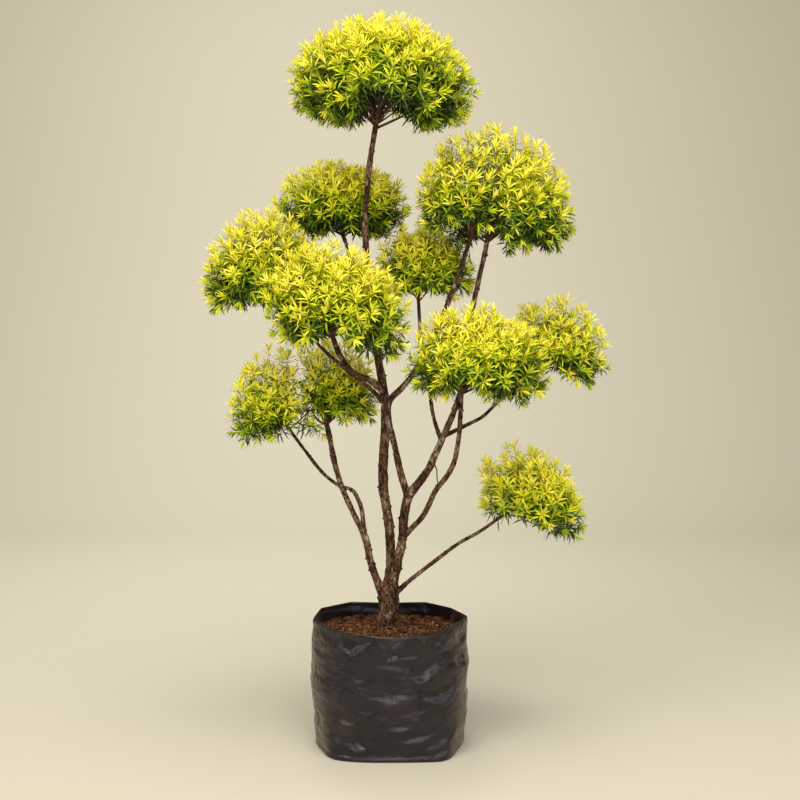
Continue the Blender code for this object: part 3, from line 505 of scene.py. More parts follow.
def thin_bark():
    """Thin bark of a young evergreen: red-brown under a grey-brown skin that flakes pale; dry, matt.

    Patches are 10 to 40 mm and drawn out along the limb, cracks 3 to 6 mm apart, lenticels 1 mm.
    Pruning scars, and painted shade in the forks where limbs meet, come from values on the mesh and
    are dark.
    """
    bark = Finish("thin_bark", "#6b4a38", 0.84, {"IOR": 1.40, "Specular IOR Level": 0.28})
    upright = bark.place(0.50)
    patch = bark.noise(upright, 58.0, 5.0, 0.66)
    crack = bark.noise(upright, 250.0, 4.0, 0.62)
    skin = bark.ramp(
        patch, (0.31, "#241206"), (0.45, "#4b3019"), (0.57, "#7a5d47"), (0.71, "#bfa78e"))
    dark = bark.ramp(crack, (0.42, "#160a02"), (0.56, "#ffffff"))
    pale = bark.ramp(bark.cells(bark.place(), 190.0), (0.07, "#b79c80"), (0.16, "#000000"))
    flecked = bark.mix("LIGHTEN", 0.30, bark.mix("MULTIPLY", 0.88, skin, dark), pale)
    # Painted shade: the forks where limbs meet darken with the pruning scars, from one value on the
    # mesh.
    scar_and_crotch_shade = bark.add("Attribute", {"attribute_name": "scar_and_crotch_shade"}).outputs["Fac"]
    bark.tint(bark.mix("MIX", scar_and_crotch_shade, flecked, linear("#2a160e")))
    bark.emboss((crack, 0.9, 0.0009), (patch, 0.7, 0.0016))
    return bark.material


def patchy(name, base, roughness, values, scale, detail, *stops):
    """A plain finish whose shade changes from patch to patch, with scale patches to a metre."""
    made = Finish(name, base, roughness, values)
    made.tint(made.ramp(made.noise(made.place(), scale, detail), *stops))
    return made.material


def crumb_finish(name, dark, light):
    """A crumb of soil or a chip of bark: matt, each patch of 6 mm its own shade."""
    return patchy(name, light, 0.92, {"IOR": 1.35, "Specular IOR Level": 0.25}, 170.0, 2.0,
                  (0.35, dark), (0.65, light))


def twig_bark():
    """Bark of this year's twigs: thin, smooth and dark red-brown, with paler patches 6 mm long."""
    return patchy("twig_bark", "#4a2c1c", 0.80, {"IOR": 1.40}, 160.0, 3.0,
                  (0.35, "#2c180c"), (0.55, "#50321c"), (0.75, "#755334"))


def young_stem():
    """Soft bark of the newest stems: ochre brown, redder in patches 6 mm long, slightly shiny."""
    return patchy("young_stem", "#8a5a24", 0.62, {"IOR": 1.40}, 160.0, 3.0,
                  (0.35, "#4e2c12"), (0.55, "#7a5220"), (0.75, "#a08034"))


def waxy_leaf(name, colour):
    """A narrow evergreen leaf with a thin wax: half matt, one plain colour for its age."""
    return Finish(name, colour, 0.52, {"IOR": 1.40, "Specular IOR Level": 0.36}).material


# ---- meshes -------------------------------------------------------------------------------------
def smooth_object(name, points, faces, finish):
    """A smooth object of triangles, with its place in its mesh."""
    points = np.asarray(points, np.float32).reshape(-1, 3)
    faces = np.asarray(faces, np.int32).reshape(-1, 3)
    mesh = bpy.data.meshes.new(name)
    mesh.vertices.add(len(points))
    mesh.vertices.foreach_set("co", points.ravel())
    mesh.loops.add(faces.size)
    mesh.loops.foreach_set("vertex_index", faces.ravel())
    mesh.polygons.add(len(faces))
    mesh.polygons.foreach_set("loop_start", np.arange(0, faces.size, 3, dtype=np.int32))
    mesh.polygons.foreach_set("use_smooth", np.ones(len(faces), bool))
    mesh.update(calc_edges=True)
    mesh.materials.append(finish)
    return place_in_scene(name, mesh)


def place_in_scene(name, data):
    """An object of a mesh, a light or a camera, in the scene."""
    made = bpy.data.objects.new(name, data)
    bpy.context.scene.collection.objects.link(made)
    return made


def add_piece(name, points, faces, finish, slot, nodes, scars=None):
    """A piece of the plant, on its one body, and the nodes that it stands for; its material slot is
    not used.

    Scars, with painted shade in the forks, where given, go on the mesh as one value for each point.
    """
    piece = smooth_object(name, points, faces, finish)
    if scars is not None:
        values = piece.data.attributes.new("scar_and_crotch_shade", "FLOAT", "POINT")
        values.data.foreach_set("value", scars.astype(np.float32))
    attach(piece, "root")
    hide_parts(*nodes)


def unit(vectors):
    """The vectors at length 1."""
    return vectors / np.maximum(np.linalg.norm(vectors, axis=-1, keepdims=True), 1e-9)


def sheet_faces(rows, columns, wraps):
    """Two triangles for each cell of a grid of rows by columns; the columns may wrap round."""
    row = np.arange(rows - 1)[:, None]
    column = np.arange(columns if wraps else columns - 1)[None, :]
    after = (column + 1) % columns
    a, b = row * columns + column, row * columns + after
    d, c = (row + 1) * columns + column, (row + 1) * columns + after
    return np.stack([a, b, c, a, c, d], axis=-1).reshape(-1, 3)


def closed_tube_faces(rows, columns):
    """Faces of rings of points with a middle point before the first ring and after the last."""
    walls = sheet_faces(rows, columns, True) + 1
    column = np.arange(columns)
    after = (column + 1) % columns
    last = 1 + (rows - 1) * columns
    start = np.stack([np.zeros(columns, int), 1 + after, 1 + column], axis=-1)
    end = np.stack([np.full(columns, rows * columns + 1), last + column, last + after], axis=-1)
    return np.concatenate([start, walls, end])


def full_turn(sides):
    """Angles all round, so many of them."""
    return np.arange(sides) * 2 * math.pi / sides


def repeated(faces, count, size):
    """The same faces for each of so many like shapes of size points."""
    return (faces[None] + (np.arange(count) * size)[:, None, None]).reshape(-1, 3)


def ways_round(across, side, turn):
    """Ways round an axis: cos(turn) * across + sin(turn) * side."""
    return across * np.cos(turn)[..., None] + side * np.sin(turn)[..., None]


def carry_rings(lines, radii, sides):
    """Rings of points round lines (count, stations, 3): line + radius * way, for radii to match.

    Across is square to the line and as near as can be to the axis that the line runs along least.
    """
    ahead = unit(np.gradient(lines, axis=-2))
    least = np.abs(lines[:, -1] - lines[:, 0]).argmin(axis=-1)
    lead = np.eye(3)[least][:, None, :]
    across = unit(lead - ahead * (lead * ahead).sum(-1, keepdims=True))
    side = np.cross(ahead, across)
    ways = ways_round(across[..., None, :], side[..., None, :], full_turn(sides))
    return lines[..., None, :] + ways * radii[..., None, None]


def closed_tubes(lines, radii, sides):
    """Points and faces of closed tubes round many lines with the same number of stations."""
    count, stations = lines.shape[:2]
    rings = carry_rings(lines, radii, sides).reshape(count, -1, 3)
    points = np.concatenate([lines[:, :1], rings, lines[:, -1:]], axis=1)
    faces = repeated(closed_tube_faces(stations, sides), count, points.shape[1])
    return points.reshape(-1, 3), faces


def join(parts):
    """Points and faces of several meshes as one."""
    starts = np.cumsum([0] + [len(points) for points, _ in parts[:-1]])
    faces = [faces + start for (_, faces), start in zip(parts, starts)]
    return np.concatenate([points for points, _ in parts]), np.concatenate(faces)


def waves(u, v, count, seed, slope=0.7):
    """A smooth uneven field, about -1 to 1: a sum of sine waves over u and v, finer ones lower.

    v goes once round from 0 to 2 pi, and every wave fits into it a whole number of times.
    """
    rng = np.random.default_rng(seed)
    field = np.zeros(np.broadcast(u, v).shape)
    total = 0.0
    for i in range(count):
        octave = 2 ** (i % 4)
        height = octave ** -slope
        along = rng.uniform(-1, 1) * octave
        about = round(rng.uniform(-1, 1) * 1.5 * octave)
        field += height * np.sin(2 * math.pi * along * u + about * v + rng.uniform(0, 2 * math.pi))
        total += height**2
    return field / math.sqrt(total)


# ---- limbs --------------------------------------------------------------------------------------
def smooth_path(stations, step):
    """Points (x, y, z, radius; metres) about step apart on the cubic curve through the stations.

    The curve is Hermite over chord length, with each station's slope taken from its neighbours.
    """
    stations = np.array(stations, float) * MM
    chord = np.linalg.norm(np.diff(stations[:, :3], axis=0), axis=1)
    at = np.concatenate(([0.0], np.cumsum(chord)))
    slope = np.gradient(stations, at, axis=0)
    path = []
    for i, length in enumerate(chord):
        count = max(1, round(length / step))
        t = (np.arange(count) / count)[:, None]
        first, last = stations[i], stations[i + 1]
        path.append((2 * t**3 - 3 * t**2 + 1) * first + (t**3 - 2 * t**2 + t) * length * slope[i]
                    + (3 * t**2 - 2 * t**3) * last + (t**3 - t**2) * length * slope[i + 1])
    path.append(stations[-1:])
    return np.concatenate(path)


COARSE_PATHS = {name: smooth_path(stations, 0.017) for name, (_, stations) in LIMBS.items()}


def limb_path(name):
    """A limb's path, gone on into the soil, or past its tip to where its mass's twigs fork."""
    parent, stations = LIMBS[name]
    path = smooth_path(stations, BARK_STEP)
    if parent is None:
        foot = path[0] - np.array([0, 0, SOIL_SINK, 0.001])
        return np.concatenate([foot[None], path])
    ahead = unit(path[-1, :3] - path[-3, :3])
    fork = np.append(path[-1, :3] + ahead * TWIG_RISE, path[-1, 3] * 0.9)
    return np.concatenate([path, (path[-1] + fork)[None] / 2, fork[None]])


def bark_radius(name, number, line, radius, along, turn):
    """Radius = r + ridges + flakes + ring scars, wider at a collar or pinched at the soil.

    Collar = share * r * exp(-distance from the parent / length); the pinch fades over 12 mm.
    """
    rough = RIDGE_HEIGHT * MM + RIDGE_GROWTH * (radius - THIN_LIMB)
    ridges = rough * waves(along / RIDGE_LENGTH, turn * 1.0, 14, 40 + number)
    flakes = FLAKE_SHARE * rough * waves(along / FLAKE_LENGTH, turn * 2.0, 16, 80 + number, 0.4)
    round_scars = np.mod(along / RING_STEP + 0.6 * np.sin(turn + number), 1) - 0.5
    scars = RING_HEIGHT * MM * np.exp(-(round_scars / RING_WIDTH) ** 2)
    uneven = 0.5 + 0.5 * np.sin(turn + along / 0.006)
    grown = radius - BARK_DEPTH * MM + ridges + flakes + scars * uneven
    parent = LIMBS[name][0]
    if parent is None:
        above = np.maximum(0.0, line[:, 2:] - SOIL_CROWN)
        return grown * (1 - FOOT_PINCH * np.exp(-above / PINCH_HEIGHT))
    inside_trunk = 1.1 * COARSE_PATHS[parent][0, 3] * (parent == "trunk")
    clear = np.maximum(0.0, along - inside_trunk - 0.006)
    return grown + COLLAR * radius * np.exp(-clear / COLLAR_LENGTH)


def bark_surface(name, number):
    """Rings round a limb with its bark's relief and knobs, and how dark scars and painted shade are
    at each point.

    A knob stands out by height * exp(-gap^2.4), with its gap in widths.  Painted shade darkens the
    bark
    along the seam where two limbs meet: exp(-(distance / width)^2).
    """
    path = limb_path(name)
    line, radius = path[:, :3], path[:, 3:]
    turn = full_turn(BARK_SIDES.get(name, BOUGH_SIDES))[None, :]
    steps = np.linalg.norm(np.diff(line, axis=0), axis=1)
    along = np.concatenate(([0.0], np.cumsum(steps)))[:, None]
    grown = bark_radius(name, number, line, radius, along, turn)
    scars_and_crotch_shade = np.zeros(grown.shape)
    for level, facing, height, width in KNOBS.get(name, ()):
        at = along[np.abs(line[:, 2] - level * MM).argmin()]
        off = np.mod(turn - math.radians(facing) + math.pi, 2 * math.pi) - math.pi
        spread = width * MM * KNOB_SPREAD
        gap = np.hypot((along - at) / spread, off * radius / spread)
        grown = grown + KNOB_RISE * height * MM * np.exp(-(gap**2.4))
        scars_and_crotch_shade = np.maximum(scars_and_crotch_shade, np.exp(-((gap / KNOB_SCAR) ** 4)))
    lead = np.array([0.0, 1.0, 0.0])
    ahead = unit(np.gradient(line, axis=0))
    back = unit(lead - ahead * (ahead @ lead)[:, None])
    left = np.cross(ahead, back)
    rings = line[:, None] + ways_round(back[:, None], left[:, None], turn) * grown[..., None]
    points = np.concatenate([line[:1], rings.reshape(-1, 3), line[-1:]])
    seam = distance_to_limbs(points, (name,))
    scars_and_crotch_shade = np.concatenate([[0.0], scars_and_crotch_shade.ravel(), [0.0]]) * KNOB_DARKNESS
    # Painted shade: a dark line where this limb's bark meets another limb.
    scars_and_crotch_shade = np.maximum(scars_and_crotch_shade, CROTCH_SHADE_DARKNESS * np.exp(-((seam / CROTCH_SHADE_WIDTH) ** 2)))
    return points, closed_tube_faces(len(line), turn.size), scars_and_crotch_shade


def build_limbs():
    """The bark of every limb, and the dry twig."""
    bark = thin_bark()
    for number, name in enumerate(LIMBS):
        # The scars hold the pruning scars and the painted shade in the forks.
        points, faces, scars = bark_surface(name, number)
        add_piece("bark_of_" + name, points, faces, bark, "bark", [name], scars)
    path = smooth_path(DRY_TWIG, BARK_STEP)[None]
    points, faces = closed_tubes(path[..., :3], path[..., 3], DRY_TWIG_SIDES)
    add_piece("dry_twig", points, faces, bark, "bark", ["bough_middle"])


def distance_to_limbs(points, but=()):
    """How far each point is from the nearest limb's bark."""
    nearest = np.full(len(points), np.inf)
    middle = points.mean(0)
    reach = np.linalg.norm(points - middle, axis=1).max() + 0.03
    for name, path in COARSE_PATHS.items():
        if name in but:
            continue
        a, b = path[:-1], path[1:]
        near = np.linalg.norm(a[:, :3] - middle, axis=1) < reach
        for first, last in zip(a[near], b[near]):
            run = last[:3] - first[:3]
            share = np.clip((points - first[:3]) @ run / (run @ run), 0, 1)[:, None]
            close = first + share * (last - first)
            gap = np.linalg.norm(points - close[:, :3], axis=1) - close[:, 3]
            nearest = np.minimum(nearest, gap)
    return nearest


# ---- foliage ------------------------------------------------------------------------------------
class Mass:
    """The space of one mass of foliage: a half ellipsoid over a fuller lower half, leaning."""

    def __init__(self, name, number):
        self.name, self.number = name, number
        self.limb, place, levels, radii, self.lean, self.arch = MASSES[name]
        self.low, self.high = np.array(levels) * MM
        self.rx, self.ry = np.array(radii) * MM
        widest = self.low + WIDEST_LEVEL * (self.high - self.low)
        self.centre = np.append(np.array(place) * MM, widest)
        path = COARSE_PATHS[self.limb]
        self.tip = path[-1, :3]
        self.tip_radius = path[-1, 3]
        self.tip_way = unit(path[-1, :3] - path[-2, :3])
        self.fork = self.tip + self.tip_way * TWIG_RISE
        self.partners = [other for pair in GROWN_TOGETHER if name in pair for other in pair
                         if other != name]

    def reach_at(self, points):
        """0 at the centre, 1 on the outline: an ellipsoid above, a squarer one below."""
        off = points - self.centre
        rise = off[..., 2] + self.lean * off[..., 0]
        level = np.hypot(off[..., 0] / self.rx, off[..., 1] / self.ry)
        above = np.hypot(level, rise / (self.high - self.centre[2]))
        drop = np.maximum(-rise, 0) / (self.centre[2] - self.low)
        below = (level**LOWER_SQUARENESS + drop**LOWER_SQUARENESS) ** (1 / LOWER_SQUARENESS)
        return np.where(rise > 0, above, below)

    def joint_reach_at(self, points):
        """The same, run together with its partner's: -log(exp(-k a) + exp(-k b)) / k."""
        own = self.reach_at(points)
        total = np.exp(-GROWN_SHARPNESS * own)
        for name in self.partners:
            total = total + np.exp(-GROWN_SHARPNESS * SPACES[name].reach_at(points))
        return -np.log(total) / GROWN_SHARPNESS if self.partners else own

    def holds(self, points, most=1.0):
        """True where a point is in this mass's space and not in a neighbour's."""
        own = self.reach_at(points)
        inside = self.joint_reach_at(points) <= most
        for other in SPACES.values():
            gap = -PARTNER_OVERLAP if other.name in self.partners else NEIGHBOUR_GAP
            if other is not self:
                inside &= own < other.reach_at(points) - gap
        return inside

    def floor_at(self, points):
        """The level of the arch under the mass: 1 - (sideways / half width)^shape of its height."""
        lift, left, right = self.arch
        sideways = points[..., 0] - self.tip[0]
        half_width = np.where(sideways < 0, left, right) * MM
        level = self.tip[2] + lift * MM * (1 - np.abs(sideways / half_width) ** ARCH_SHAPE)
        return np.maximum(level, self.low)

    def over_floor(self, points, gap):
        """The points, raised to at least a gap over the arch."""
        level = np.maximum(points[:, 2], self.floor_at(points) + gap)
        return np.concatenate([points[:, :2], level[:, None]], axis=1)

    def outline(self, ways):
        """How far from the centre along each way the outline lies, found by halving."""
        near, far = np.zeros(len(ways)), np.full(len(ways), 2 * self.rx)
        for _ in range(20):
            middle = (near + far) / 2
            inside = self.joint_reach_at(self.centre + ways * middle[:, None]) < 1
            near, far = np.where(inside, middle, near), np.where(inside, far, middle)
        return near


def ways_at(flat, turn, height):
    """Ways that turn round straight up: (flat * cos(turn), flat * sin(turn), height)."""
    return np.stack([flat * np.cos(turn), flat * np.sin(turn), height], axis=-1)


def fan(count, lowest, turn_from):
    """Ways spread evenly over a cap round straight up, each a golden angle on from the last."""
    number = np.arange(count)
    height = 1 - (1 - math.cos(lowest)) * (number + 0.5) / count
    return ways_at(np.sqrt(1 - height**2), number * GOLDEN_ANGLE + turn_from, height)


def bent_lines(starts, bends, ends, stations):
    """Lines from starts to ends drawn towards bends: (1-t)^2 start + 2t(1-t) bend + t^2 end."""
    t = np.linspace(0, 1, stations)[None, :, None]
    return (1 - t) ** 2 * starts[:, None] + 2 * t * (1 - t) * bends[:, None] + t**2 * ends[:, None]


def twigs_along(kind, starts, bends, ends, thick, thinnest=0.0):
    """Twigs of one kind as lines, radii and sides: thick at the start, its end's share at the end."""
    stations, sides, end_share = kind
    radii = thick * np.linspace(1.0, end_share, stations)[None]
    return bent_lines(starts, bends, ends, stations), np.maximum(radii, thinnest), sides


def main_twigs(mass):
    """The main twigs, as in the solids: a fan that leans out from the fork."""
    number = np.arange(TWIGS_PER_MASS)
    spread = (number + 0.5) / TWIGS_PER_MASS
    polar = TWIG_POLAR * (TWIG_INNER_SHARE + (1 - TWIG_INNER_SHARE) * spread)
    ways = ways_at(np.sin(polar), number * GOLDEN_ANGLE + mass.number, np.cos(polar))
    ends = mass.centre + ways * (mass.outline(ways) * TWIG_REACH)[:, None]
    ends = mass.over_floor(ends, TWIG_GAP)
    ahead = mass.tip_way * TWIG_SINK
    starts = np.repeat((mass.fork - ahead)[None], TWIGS_PER_MASS, 0)
    bends = starts * 0.55 + ends * 0.45 + ahead - UP * TWIG_SINK
    most, less = MAIN_TWIG_THICKNESS
    thick = mass.tip_radius * STEM_SHARE * (most - less * spread)[:, None]
    return twigs_along(MAIN_TWIG, starts, bends, ends, thick)


def side_twigs(mass, main_lines):
    """Second twigs: each leaves the main twig that points most its way and goes on outwards."""
    rng = np.random.default_rng(500 + mass.number)
    count = round(SIDE_TWIGS_PER_AREA * mass.rx * mass.ry)
    ways = fan(count, SIDE_TWIG_LOWEST, mass.number + 0.7)
    reach = mass.outline(ways) * SIDE_TWIG_REACH * rng.uniform(*SIDE_TWIG_REACHES, count)
    ends = mass.over_floor(mass.centre + ways * reach[:, None], SIDE_TWIG_GAP)
    ends = ends[mass.holds(ends)]
    main = (unit(ends - mass.fork) @ unit(main_lines[:, -1] - mass.fork).T).argmax(1)
    station = rng.integers(3, 12, len(ends))
    starts = main_lines[main, station]
    ahead = unit(starts - main_lines[main, station - 2])
    run = np.linalg.norm(ends - starts, axis=1, keepdims=True)
    thick = mass.tip_radius * rng.uniform(*SIDE_TWIG_THICKNESS, (len(ends), 1))
    bends = starts + ahead * run * SIDE_TWIG_BEND
    return twigs_along(SIDE_TWIG, starts, bends, ends, thick, THINNEST_SIDE_TWIG)


def arch_twigs(mass):
    """Twigs that fan out over the arch, the outermost two thicker and leaving lower on the bough.

    Each goes from the bough to a place over the arch: sideways by its share of the arch's half width,
    and up by the arch's height less a part of that share squared.
    """
    rng = np.random.default_rng(700 + mass.number)
    lift, left, right = mass.arch
    share = np.linspace(-1, 1, ARCH_TWIGS)
    arm = np.abs(share) > 0.99
    share = share * rng.uniform(0.90, 1.15, ARCH_TWIGS)
    ends = np.repeat(mass.fork[None], ARCH_TWIGS, 0)
    ends[:, 0] += np.where(share < 0, left, right) * MM * share
    ends[:, 1] += rng.uniform(-0.25, 0.25, ARCH_TWIGS) * mass.ry
    rise = lift * MM * (1.0 - ARCH_TWIG_FALL * share**2)
    ends[:, 2] = mass.tip[2] + rise + ARCH_TWIG_RISE
    below = np.where(arm, rng.uniform(*ARM_START, ARCH_TWIGS), ARCH_TWIG_START)
    starts = mass.fork - mass.tip_way * below[:, None]
    stray = rng.normal(0, 0.004, starts.shape)
    bends = starts * 0.45 + ends * 0.55 + stray - UP * TWIG_SINK
    thin = rng.uniform(*ARCH_TWIG_THICKNESS, ARCH_TWIGS)
    thick = mass.tip_radius * np.where(arm, ARM_THICKNESS, thin)[:, None]
    return twigs_along(ARCH_TWIG, starts, bends, ends, thick)


def place_shoots(mass, layer, number):
    """Tips, axes and ways of one layer's shoots: a fan over the dome, set in from its outline.

    A shoot turns up from straight out of the mass, and the lowest ones turn down:
    axis = way + lift * up, with the lift from SHOOT_LIFTS by the height of the way.
    """
    density, (least, most), _, _ = layer
    rng = np.random.default_rng(900 + 20 * mass.number + number)
    count = round(density * mass.rx * mass.ry)
    ways = fan(count, SHOOT_LOWEST, mass.number + 2.1 * number)
    ways = unit(ways + rng.normal(0, WAY_SPREAD, ways.shape))
    depth = least + (most - least) * rng.uniform(0, 1, count)
    tips = mass.centre + ways * (mass.outline(ways) - depth)[:, None]
    lift = np.interp(ways[:, 2], *SHOOT_LIFTS) + rng.normal(0, LIFT_SPREAD, count)
    axes = unit(ways + rng.normal(0, AXIS_SPREAD, ways.shape) + lift[:, None] * UP)
    feet = tips - axes * SHOOT_LENGTH
    ragged = rng.uniform(*HEM, count) + DEEPER_HEM * number
    keep = mass.holds(tips) & (tips[:, 2] > mass.floor_at(tips) + ragged)
    keep &= rng.uniform(0, 1, count) < np.interp(ways[:, 2], *UNDERSIDE_SHARE)
    keep &= distance_to_limbs(tips, (mass.limb,)) > SHOOT_CLEARANCE
    keep &= distance_to_limbs((tips + feet) / 2) > STEM_CLEARANCE
    return tips[keep], axes[keep], ways[keep], feet[keep]


def whorl_rows(grown):
    """One row for each leaf of a shoot: whorl, place, angle, bend, length and width."""
    rows = []
    for whorl, (count, places, angles, bends, lengths, width, _) in enumerate(WHORLS):
        count = max(3, round(count * grown))
        t = (np.arange(count) + 0.5) / count
        spans = [low + (high - low) * t for low, high in (places, angles, bends, lengths)]
        rows.append(np.stack([np.full(count, whorl), *spans, np.full(count, width)], axis=-1))
    return np.concatenate(rows).T


def shoot_leaves(mass, layer, number, tips, axes, ways):
    """Leaves round each shoot, and the colour of each: an array (leaf, 8 points, 3) and its colours.

    Each leaf leaves the axis a golden angle on from the last, at its whorl's angle.  Its line is
    base + length * (d t + bend t^2 / 2), and it is a keeled blade that narrows to a point.
    """
    _, _, grown, deeper_green_and_shade = layer
    rng = np.random.default_rng(1700 + 20 * mass.number + number)
    whorl, share, angle, bend, run, width = whorl_rows(grown)
    shoots, leaves = len(tips), len(share)
    size = rng.uniform(*SHOOT_SIZES, (shoots, 1))
    base = tips[:, None] - axes[:, None] * (SHOOT_LENGTH * share * size)[..., None]
    least = np.eye(3)[np.abs(axes).argmin(1)]
    across = unit(np.cross(axes, least))
    side = np.cross(axes, across)
    turn = np.arange(leaves) * GOLDEN_ANGLE + rng.uniform(0, 2 * math.pi, (shoots, 1))
    turn = turn + rng.normal(0, TURN_SPREAD, (shoots, leaves))
    out = ways_round(across[:, None], side[:, None], turn)
    angle = np.radians(angle) + rng.normal(0, ANGLE_SPREAD, (shoots, leaves))
    turned = angle + np.radians(bend) + rng.normal(0, BEND_SPREAD, angle.shape)
    axis = axes[:, None]
    low = np.maximum(0.0, 0.1 - ways[:, 2])[:, None, None]
    sink = UP * (LEAF_DROOP * low + OLD_LEAF_DROOP * share[..., None])
    first = unit(ways_round(axis, out, angle) - 0.5 * sink)
    last = unit(ways_round(axis, out, turned) - 1.4 * sink)
    run = run * MM * size * rng.uniform(*LENGTHS, angle.shape)
    half = (width * MM / 2 * rng.uniform(*WIDTHS, angle.shape))[..., None]
    roll = ROLL_SPREAD * rng.normal(0, 1, first.shape)
    upper = unit(axis - first * (axis * first).sum(-1, keepdims=True) + roll)
    broad = unit(np.cross(first, upper))
    upper = np.cross(broad, first)
    one, two, end = [base + run[..., None] * (first * t + (last - first) * t * t / 2)
                     for t in LEAF_STATIONS]
    second, keel = half * SECOND_WIDTH, upper * half * LEAF_KEEL
    points = np.stack([
        base, one - broad * half, one - keel, one + broad * half,
        two - broad * second, two - keel * SECOND_KEEL, two + broad * second, end,
    ], axis=2)
    tone = tone_of(ways, whorl.astype(int), deeper_green_and_shade, rng)
    blades = points.reshape(-1, 8, 3)
    keep = mass.holds(blades[:, 7], LEAF_REACH) & (blades[:, 7, 2] > mass.low - LOWEST_LEAF)
    inside = np.flatnonzero(keep)
    room = np.minimum(distance_to_limbs(blades[inside, 7]), distance_to_limbs(blades[inside, 5]))
    inside = inside[room > LIMB_CLEARANCE]
    return blades[inside], tone.reshape(-1)[inside]


def tone_of(ways, whorl, deeper_green_and_shade, rng):
    """Which of the leaf colours each spray has: gold high up and at the tip, green low and inside.

    High on the dome the older leaves of a shoot are hardly greener than its tip.  Some of the lower
    shoots stay as golden as the upper ones.  Gold high up and darker green low down and in deeper
    layers are partly the plant's own colour and partly painted top light and shade.
    """
    height = ways[:, 2]
    # Partly painted light and shade: higher shoots get golder colours, lower ones greener and darker.
    green_and_shade = np.interp(height, *GREEN_AND_SHADE_BY_HEIGHT)
    green_and_shade = np.where(rng.uniform(0, 1, len(ways)) < STILL_GOLDEN, GOLDEN_SHADE * green_and_shade, green_and_shade)
    # Partly painted shade: a deeper layer gets darker greens.
    deeper = deeper_green_and_shade * np.interp(height, *DEEPER_SHARE)
    spray = green_and_shade + deeper + rng.normal(0, SHOOT_TONE_SPREAD, len(ways))
    older = np.interp(height, *OLDER_SHARE)[:, None] * np.array([row[-1] for row in WHORLS])
    tiers = spray[:, None] + older + rng.normal(0, TIER_TONE_SPREAD, (len(ways), len(WHORLS)))
    tone = np.take_along_axis(tiers, np.broadcast_to(whorl, (len(ways), len(whorl))), 1)
    return np.clip(np.floor(tone * len(LEAF_COLOURS)), 0, len(LEAF_COLOURS) - 1).astype(int)


LEAF_FACES = np.array([
    (0, 3, 2), (0, 2, 1), (2, 3, 6), (2, 6, 5), (1, 2, 5), (1, 5, 4), (5, 6, 7), (4, 5, 7),
])


def shoot_stems(tips, feet, ends):
    """Finest twigs: each runs from the end of a side twig to a shoot's foot and on to its tip."""
    starts = ends[((feet[:, None] - ends[None]) ** 2).sum(-1).argmin(1)]
    bends = feet * 0.75 + starts * 0.25 - (tips - feet) * 0.35
    stations = len(STEM_RADII) - 1
    lines = np.concatenate([bent_lines(starts, bends, feet, stations), tips[:, None]], axis=1)
    radii = np.broadcast_to(np.array(STEM_RADII) * MM, lines.shape[:2])
    near = np.linalg.norm(feet - starts, axis=1) < LONGEST_STEM
    return closed_tubes(lines[near], radii[near], 3)


def grow(mass):
    """All of one mass: its twigs, its shoots' stems, and its leaves with their colours."""
    main, arch = main_twigs(mass), arch_twigs(mass)
    side = side_twigs(mass, main[0])
    start = mass.tip - mass.tip_way * 0.004
    thick = np.array([[mass.tip_radius * STEM_SHARE]])
    stem = twigs_along(STEM, start[None], mass.tip[None], mass.fork[None], thick)
    twigs = [closed_tubes(*kind) for kind in (stem, main, side, arch)]
    ends = np.concatenate([side[0][:, -1], side[0][:, 5], main[0][:, -1], arch[0][:, -1]])
    stems, leaves = [], []
    for number, layer in enumerate(LAYERS):
        tips, axes, ways, feet = place_shoots(mass, layer, number)
        if len(tips):
            leaves.append(shoot_leaves(mass, layer, number, tips, axes, ways))
            stems.append(shoot_stems(tips, feet, ends))
    return twigs, stems, leaves


def build_foliage():
    """Grows every mass and joins twigs, shoot stems and each colour of leaf into pieces."""
    twigs, stems, leaves = [], [], []
    for mass in SPACES.values():
        for parts, more in zip((twigs, stems, leaves), grow(mass)):
            parts.extend(more)
    add_piece("foliage_twigs", *join(twigs), twig_bark(), "bark", MASSES)
    add_piece("foliage_shoot_stems", *join(stems), young_stem(), "bark", MASSES)
    blades, tones = [np.concatenate(part) for part in zip(*leaves)]
    for tone, (name, colour) in enumerate(LEAF_COLOURS):
        points = blades[tones == tone]
        faces = repeated(LEAF_FACES, len(points), points.shape[1])
        add_piece(name, points, faces, waxy_leaf(name, colour), "golden_leaf", MASSES)
        print(name, len(points), "leaves")


# ---- bag and soil -------------------------------------------------------------------------------
def film_columns():
    """Each column's corner of the bag and its share of the way to the next corner."""
    edges = np.linalg.norm(np.roll(RIM_CORNERS, -1, axis=0) - RIM_CORNERS, axis=1)
    counts = np.round(edges / FILM_STEP).astype(int)
    corner = np.repeat(np.arange(len(counts)), counts)
    first = np.concatenate(([0], np.cumsum(counts)[:-1]))
    return corner, (np.arange(len(corner)) - first[corner]) / counts[corner]


def between_corners(values):
    """Values at the bag's corners, carried straight from corner to corner to each column."""
    first, second = values[CORNER], np.roll(values, -1, axis=0)[CORNER]
    return first + ((second - first).T * SHARE).T


def film_places():
    """How far round the rim each column is from the front's middle: - to the left, + to the right."""
    rim = between_corners(RIM_CORNERS)
    steps = np.linalg.norm(np.diff(rim, axis=0, append=rim[:1]), axis=1)
    round_from = np.concatenate(([0.0], np.cumsum(steps)))
    whole = round_from[-1]
    start = round_from[np.flatnonzero(CORNER == FRONT_CORNER)[0]]
    return np.mod(round_from[:-1] - start + whole / 2, whole) - whole / 2, whole


